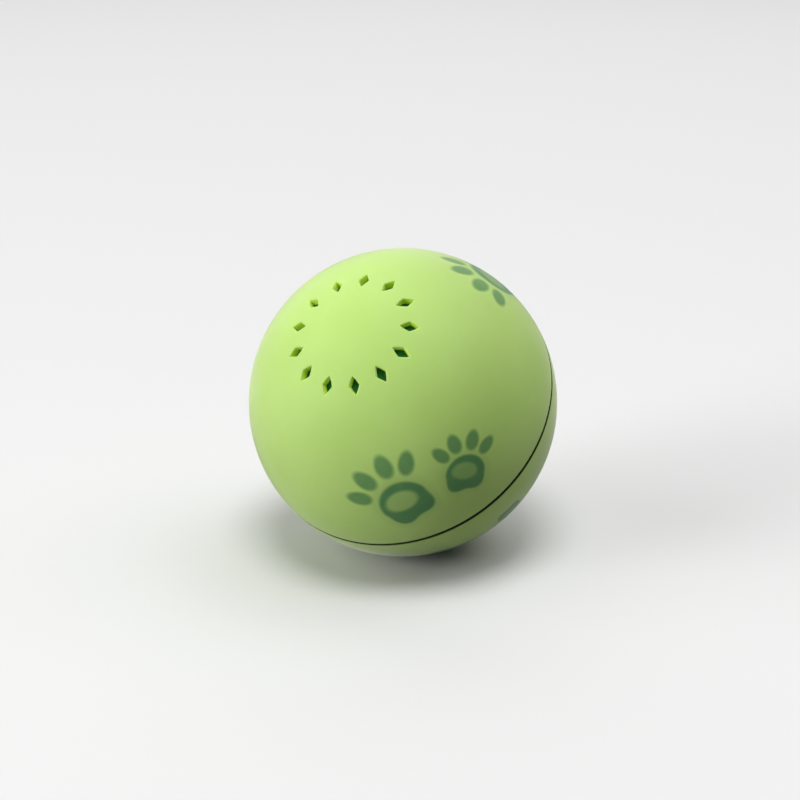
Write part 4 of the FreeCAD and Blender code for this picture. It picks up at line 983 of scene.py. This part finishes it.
def sealRubber():
    # near black, with a fine matt grain
    material, place = newMaterial("seal_rubber", Specular_IOR_Level=0.3)
    fine = place.noise(seal["grainScale"], 3.0)
    return finishMaterial(
        material,
        Base_Color=fine.blendColour(srgb(*seal["dark"]), srgb(*seal["light"])),
        Roughness=0.72 + fine * 0.15,
        Normal=fine.bump(seal["depth"], 0.5),
    )


motor = {
    "steel": (172, 174, 178),
    "bright": (206, 208, 210),
    "band": (110, 112, 116),
    "stripeScale": 2.6,
    "stretch": 0.04,
    "bandHeight": -12.0,
    "bandFade": (0.5, 0.3),
    "depth": 0.00001,
}


def motorCan():
    # drawn steel can: lines run along the axle, with a dark seam band round its foot
    material, place = newMaterial("motor_steel", Metallic=1.0)
    x, y, z = aboutAxle(place)
    pulled = place.add("CombineXYZ", None, {0: x, 1: y, 2: z * motor["stretch"]})
    stripes = pulled.noise(motor["stripeScale"], 3.0)
    band = abs(z - motor["bandHeight"]).fade(*motor["bandFade"])
    colour = stripes.blendColour(srgb(*motor["steel"]), srgb(*motor["bright"]))
    return finishMaterial(
        material,
        Base_Color=band.blendColour(colour, srgb(*motor["band"])),
        Roughness=0.24 + stripes * 0.16,
        Normal=stripes.bump(motor["depth"], 0.4),
    )


finishes = {
    "seal_rubber": sealRubber(),
    "frame_plastic": mouldedPlastic("frame_plastic", (208, 210, 204), 0.42),
    "gear_plastic": mouldedPlastic("gear_plastic", (240, 238, 226), 0.36, 0.05),
    "bush_metal": workedMetal("bush_metal", (200, 164, 92), 0.3),
    "steel": workedMetal("steel", (196, 198, 202), 0.2, (1.0, 0.15, 0.15)),
    "screw_steel": workedMetal("screw_steel", (150, 152, 158), 0.28),
    "motor_steel": motorCan(),
    "motor_plastic": mouldedPlastic("motor_plastic", (236, 234, 226), 0.4),
    "cell_wrap": cellWrap(),
    "contact_metal": workedMetal("contact_metal", (204, 200, 186), 0.26),
    "ballast_steel": workedMetal("ballast_steel", (84, 86, 90), 0.5, (1.0, 1.0, 1.0), 260.0, 0.2),
    "board_laminate": boardLaminate(),
    "part_black": mouldedPlastic("part_black", (30, 30, 32), 0.5, 0.1),
    "cone_paper": conePaper(),
    "can_metal": canMetal(),
    "slider_plastic": mouldedPlastic("slider_plastic", (238, 238, 232), 0.4),
}
for subpart in frame["record"]["subparts"]:
    finish = finishes.get(subpart["material_slot"])
    if finish is None:
        continue
    node = frame["nodes"][subpart["node"]]
    if not node.material_slots:
        node.data.materials.append(finish)
    for holder in node.material_slots:
        holder.material = finish
print("inner pieces finished")

# Screws with crossed recesses
screw = {
    "headRadius": 1.9,
    "headHeight": 1.2,
    "shankRadius": 0.95,
    "crossReach": 1.15,
    "crossHalf": 0.28,
    "crossDepth": 0.65,
    "crossSoft": 0.12,
    "reachSoft": 0.25,
    "crownRim": 0.72,
    "crownRise": 0.28,
    "crownShare": 0.985,
    "rimLow": 0.6,
    "bevel": 0.08,
    "pointLength": 0.5,
    "pointFlat": 0.02,
    "innerRing": 0.12,
    "rings": 12,
    "columns": 48,
    "firstTurn": 0.4,
    "turnStep": 0.9,
}
# node: body, seat height, which way the head points, shank length, places (radius, angle)
screwPlaces = {
    "drive_socket_screws": ("root", -32.0, 1, 5.0, [(6.2, 30), (6.2, 150), (6.2, 270)]),
    "floor_screws": ("pod", -26.25, -1, 5.0, [(21.7, 19), (22.1, 185), (21.9, 79)]),
    "bridge_screws": ("pod", 17.6, 1, 5.0, [(25, 112), (25, 30), (15.5, 195), (15.5, -15)]),
    "motor_screws": ("pod", 6.0, 1, 3.8, [(18.945, 129.487), (9.741, 145.798)]),
    "board_screws": ("pod", 22.0, 1, 5.0, [(21, 62), (21, 152), (20.6, -9)]),
    "door_screw": ("pod", 25.25, 1, 5.0, [(10.1, -90)]),
}


def screwGrids(radius, angle, seat, way, length, turn):
    # head over a polar grid (r, a): h = H (rim + rise sqrt(1 - (r / R)^2)), less the cross, whose
    # arms are smooth bumps in the distance across and along; then the shank to a blunt cone
    steps = np.concatenate([[0.0], np.linspace(screw["innerRing"], 1.0, screw["rings"])])
    around = np.radians(np.arange(screw["columns"]) * 360 / screw["columns"])
    headRadius, headHeight = screw["headRadius"], screw["headHeight"]
    r = steps[:, None] * headRadius * screw["crownShare"]
    x, y = r * np.cos(around), r * np.sin(around)
    across = np.minimum(abs(x), abs(y))
    along = np.maximum(abs(x), abs(y))
    arm = np.clip((screw["crossHalf"] - across) / screw["crossSoft"] + 0.5, 0, 1)
    reach = np.clip((screw["crossReach"] - along) / screw["reachSoft"] + 0.5, 0, 1)
    dome = np.sqrt(np.clip(1 - steps[:, None] ** 2, 0, 1))
    crown = headHeight * (screw["crownRim"] + screw["crownRise"] * dome)
    h = crown - screw["crossDepth"] * arm * reach
    c, s = math.cos(turn), math.sin(turn)
    top = np.stack([x * c - y * s, x * s + y * c, h], -1)
    shank, tip = screw["shankRadius"], screw["pointFlat"] - length
    profile = [
        (headRadius * screw["crownShare"], headHeight * screw["crownRim"]),
        (headRadius, headHeight * screw["rimLow"]),
        (headRadius, screw["bevel"]),
        (headRadius - screw["bevel"], 0.0),
        (shank, 0.0),
        (shank, screw["pointLength"] - length),
        (shank / 2, tip),
        (0.0, tip),
    ]
    tail = revolved(profile, around + turn)
    a = math.radians(angle)
    middle = np.array([radius * math.cos(a), radius * math.sin(a), seat])
    return [grid * np.array([1, 1, way]) + middle for grid in (top, tail)]


def makeScrews():
    for node, (body, seat, way, length, places) in screwPlaces.items():
        grids = []
        for index, (radius, angle) in enumerate(places):
            turn = screw["firstTurn"] + screw["turnStep"] * index
            grids += screwGrids(radius, angle, seat, way, length, turn)
        piece = pieceFromGrids(node + "_crossed", grids, finishes["screw_steel"], 40.0)
        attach(piece, body)
        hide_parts(node)


makeScrews()
print("screws made")

# Floor, sky and lamps
studio = {
    "floorSize": 6.0,
    "floorNear": (228, 228, 228),
    "floorFar": (237, 237, 237),
    "farFade": (0.2, 1.4),
    "floorBounce": 0.26,
    "floorFade": (1.3, 2.7),
    "floorRoughness": (0.88, 0.06),
    "skyShade": 0.84,
    "lampDistance": 2.5,
    "lamps": {  # where each stands: across, up, towards the camera; then its width and power
        "top": (0.0, 0.8, 0.6, 1.2, 32.0),
        "left": (-0.9, 0.35, 0.3, 2.4, 25.0),
        "frontLeft": (-0.85, 0.1, 0.5, 1.2, 28.0),
        "right": (0.5, 0.8, 0.2, 2.4, 26.0),
        "back": (-0.1, 0.85, -0.5, 3.0, 19.0),
    },
}


def seenDirectly(tree):
    # 1 for what the camera sees, straight, mirrored or through something clear
    path = tree.nodes.new("ShaderNodeLightPath")
    names = ("Is Camera Ray", "Is Glossy Ray", "Is Transmission Ray")
    seen, glossy, through = (Wire(tree, path.outputs[name]) for name in names)
    return seen.atLeast(glossy).atLeast(through)


def makeStage():
    half = studio["floorSize"] / 2
    mesh = bpy.data.meshes.new("floor")
    z = -ball["radius"] / 1000
    corners = [(-half, -half, z), (half, -half, z), (half, half, z), (-half, half, z)]
    mesh.from_pydata(corners, [], [(0, 1, 2, 3)])
    material, place = newMaterial("floor_paper", Specular_IOR_Level=0.1, Emission_Strength=1.0)
    # the paper is a little lighter far behind the ball, where less light falls
    behind = Vector((-towardsCamera.x, -towardsCamera.y, 0)).normalized()
    away = place.vector("DOT_PRODUCT", place, tuple(behind), out=1)
    far = away.fade(*studio["farFade"])
    shade = far.blendColour(srgb(*studio["floorNear"]), srgb(*studio["floorFar"]))
    # less of its light comes back on to the ball than the camera sees
    seen = seenDirectly(material.node_tree)
    bounce = seen.blendColour((studio["floorBounce"],) * 3, shade)
    # towards its edge the paper takes the sky's shade, so no horizon shows in a low view
    edge = place.vector("LENGTH", place, out=1).fade(*studio["floorFade"]) * seen
    black, sky = (0.0, 0.0, 0.0), (studio["skyShade"],) * 3
    base, rise = studio["floorRoughness"]
    finishMaterial(
        material,
        Base_Color=edge.blendColour(bounce, black),
        Emission_Color=edge.blendColour(black, sky),
        Roughness=base + place.noise(40.0) * rise,
    )
    mesh.materials.append(material)
    floor = bpy.data.objects.new("floor", mesh)
    bpy.context.collection.objects.link(floor)


def addLamps():
    for name, (across, up, near, size, power) in studio["lamps"].items():
        offset = cameraRight * across + cameraUp * up + towardsCamera * near
        data = bpy.data.lights.new(name, "AREA")
        data.shape = "DISK"
        data.size = size
        data.energy = power
        lamp = bpy.data.objects.new(name, data)
        lamp.location = offset.normalized() * studio["lampDistance"]
        lamp.rotation_euler = offset.to_track_quat("Z", "Y").to_euler()
        bpy.context.collection.objects.link(lamp)


def setWorld():
    # pale grey to the camera and in reflections, and no light of its own on the ball
    world = bpy.data.worlds.new("world")
    bpy.context.scene.world = world
    world.use_nodes = True
    background = world.node_tree.nodes["Background"]
    background.inputs["Color"].default_value = (1.0, 1.0, 1.0, 1.0)
    strength = seenDirectly(world.node_tree) * studio["skyShade"]
    world.node_tree.links.new(strength.socket, background.inputs["Strength"])


makeStage()
addLamps()
setWorld()
print("stage set")
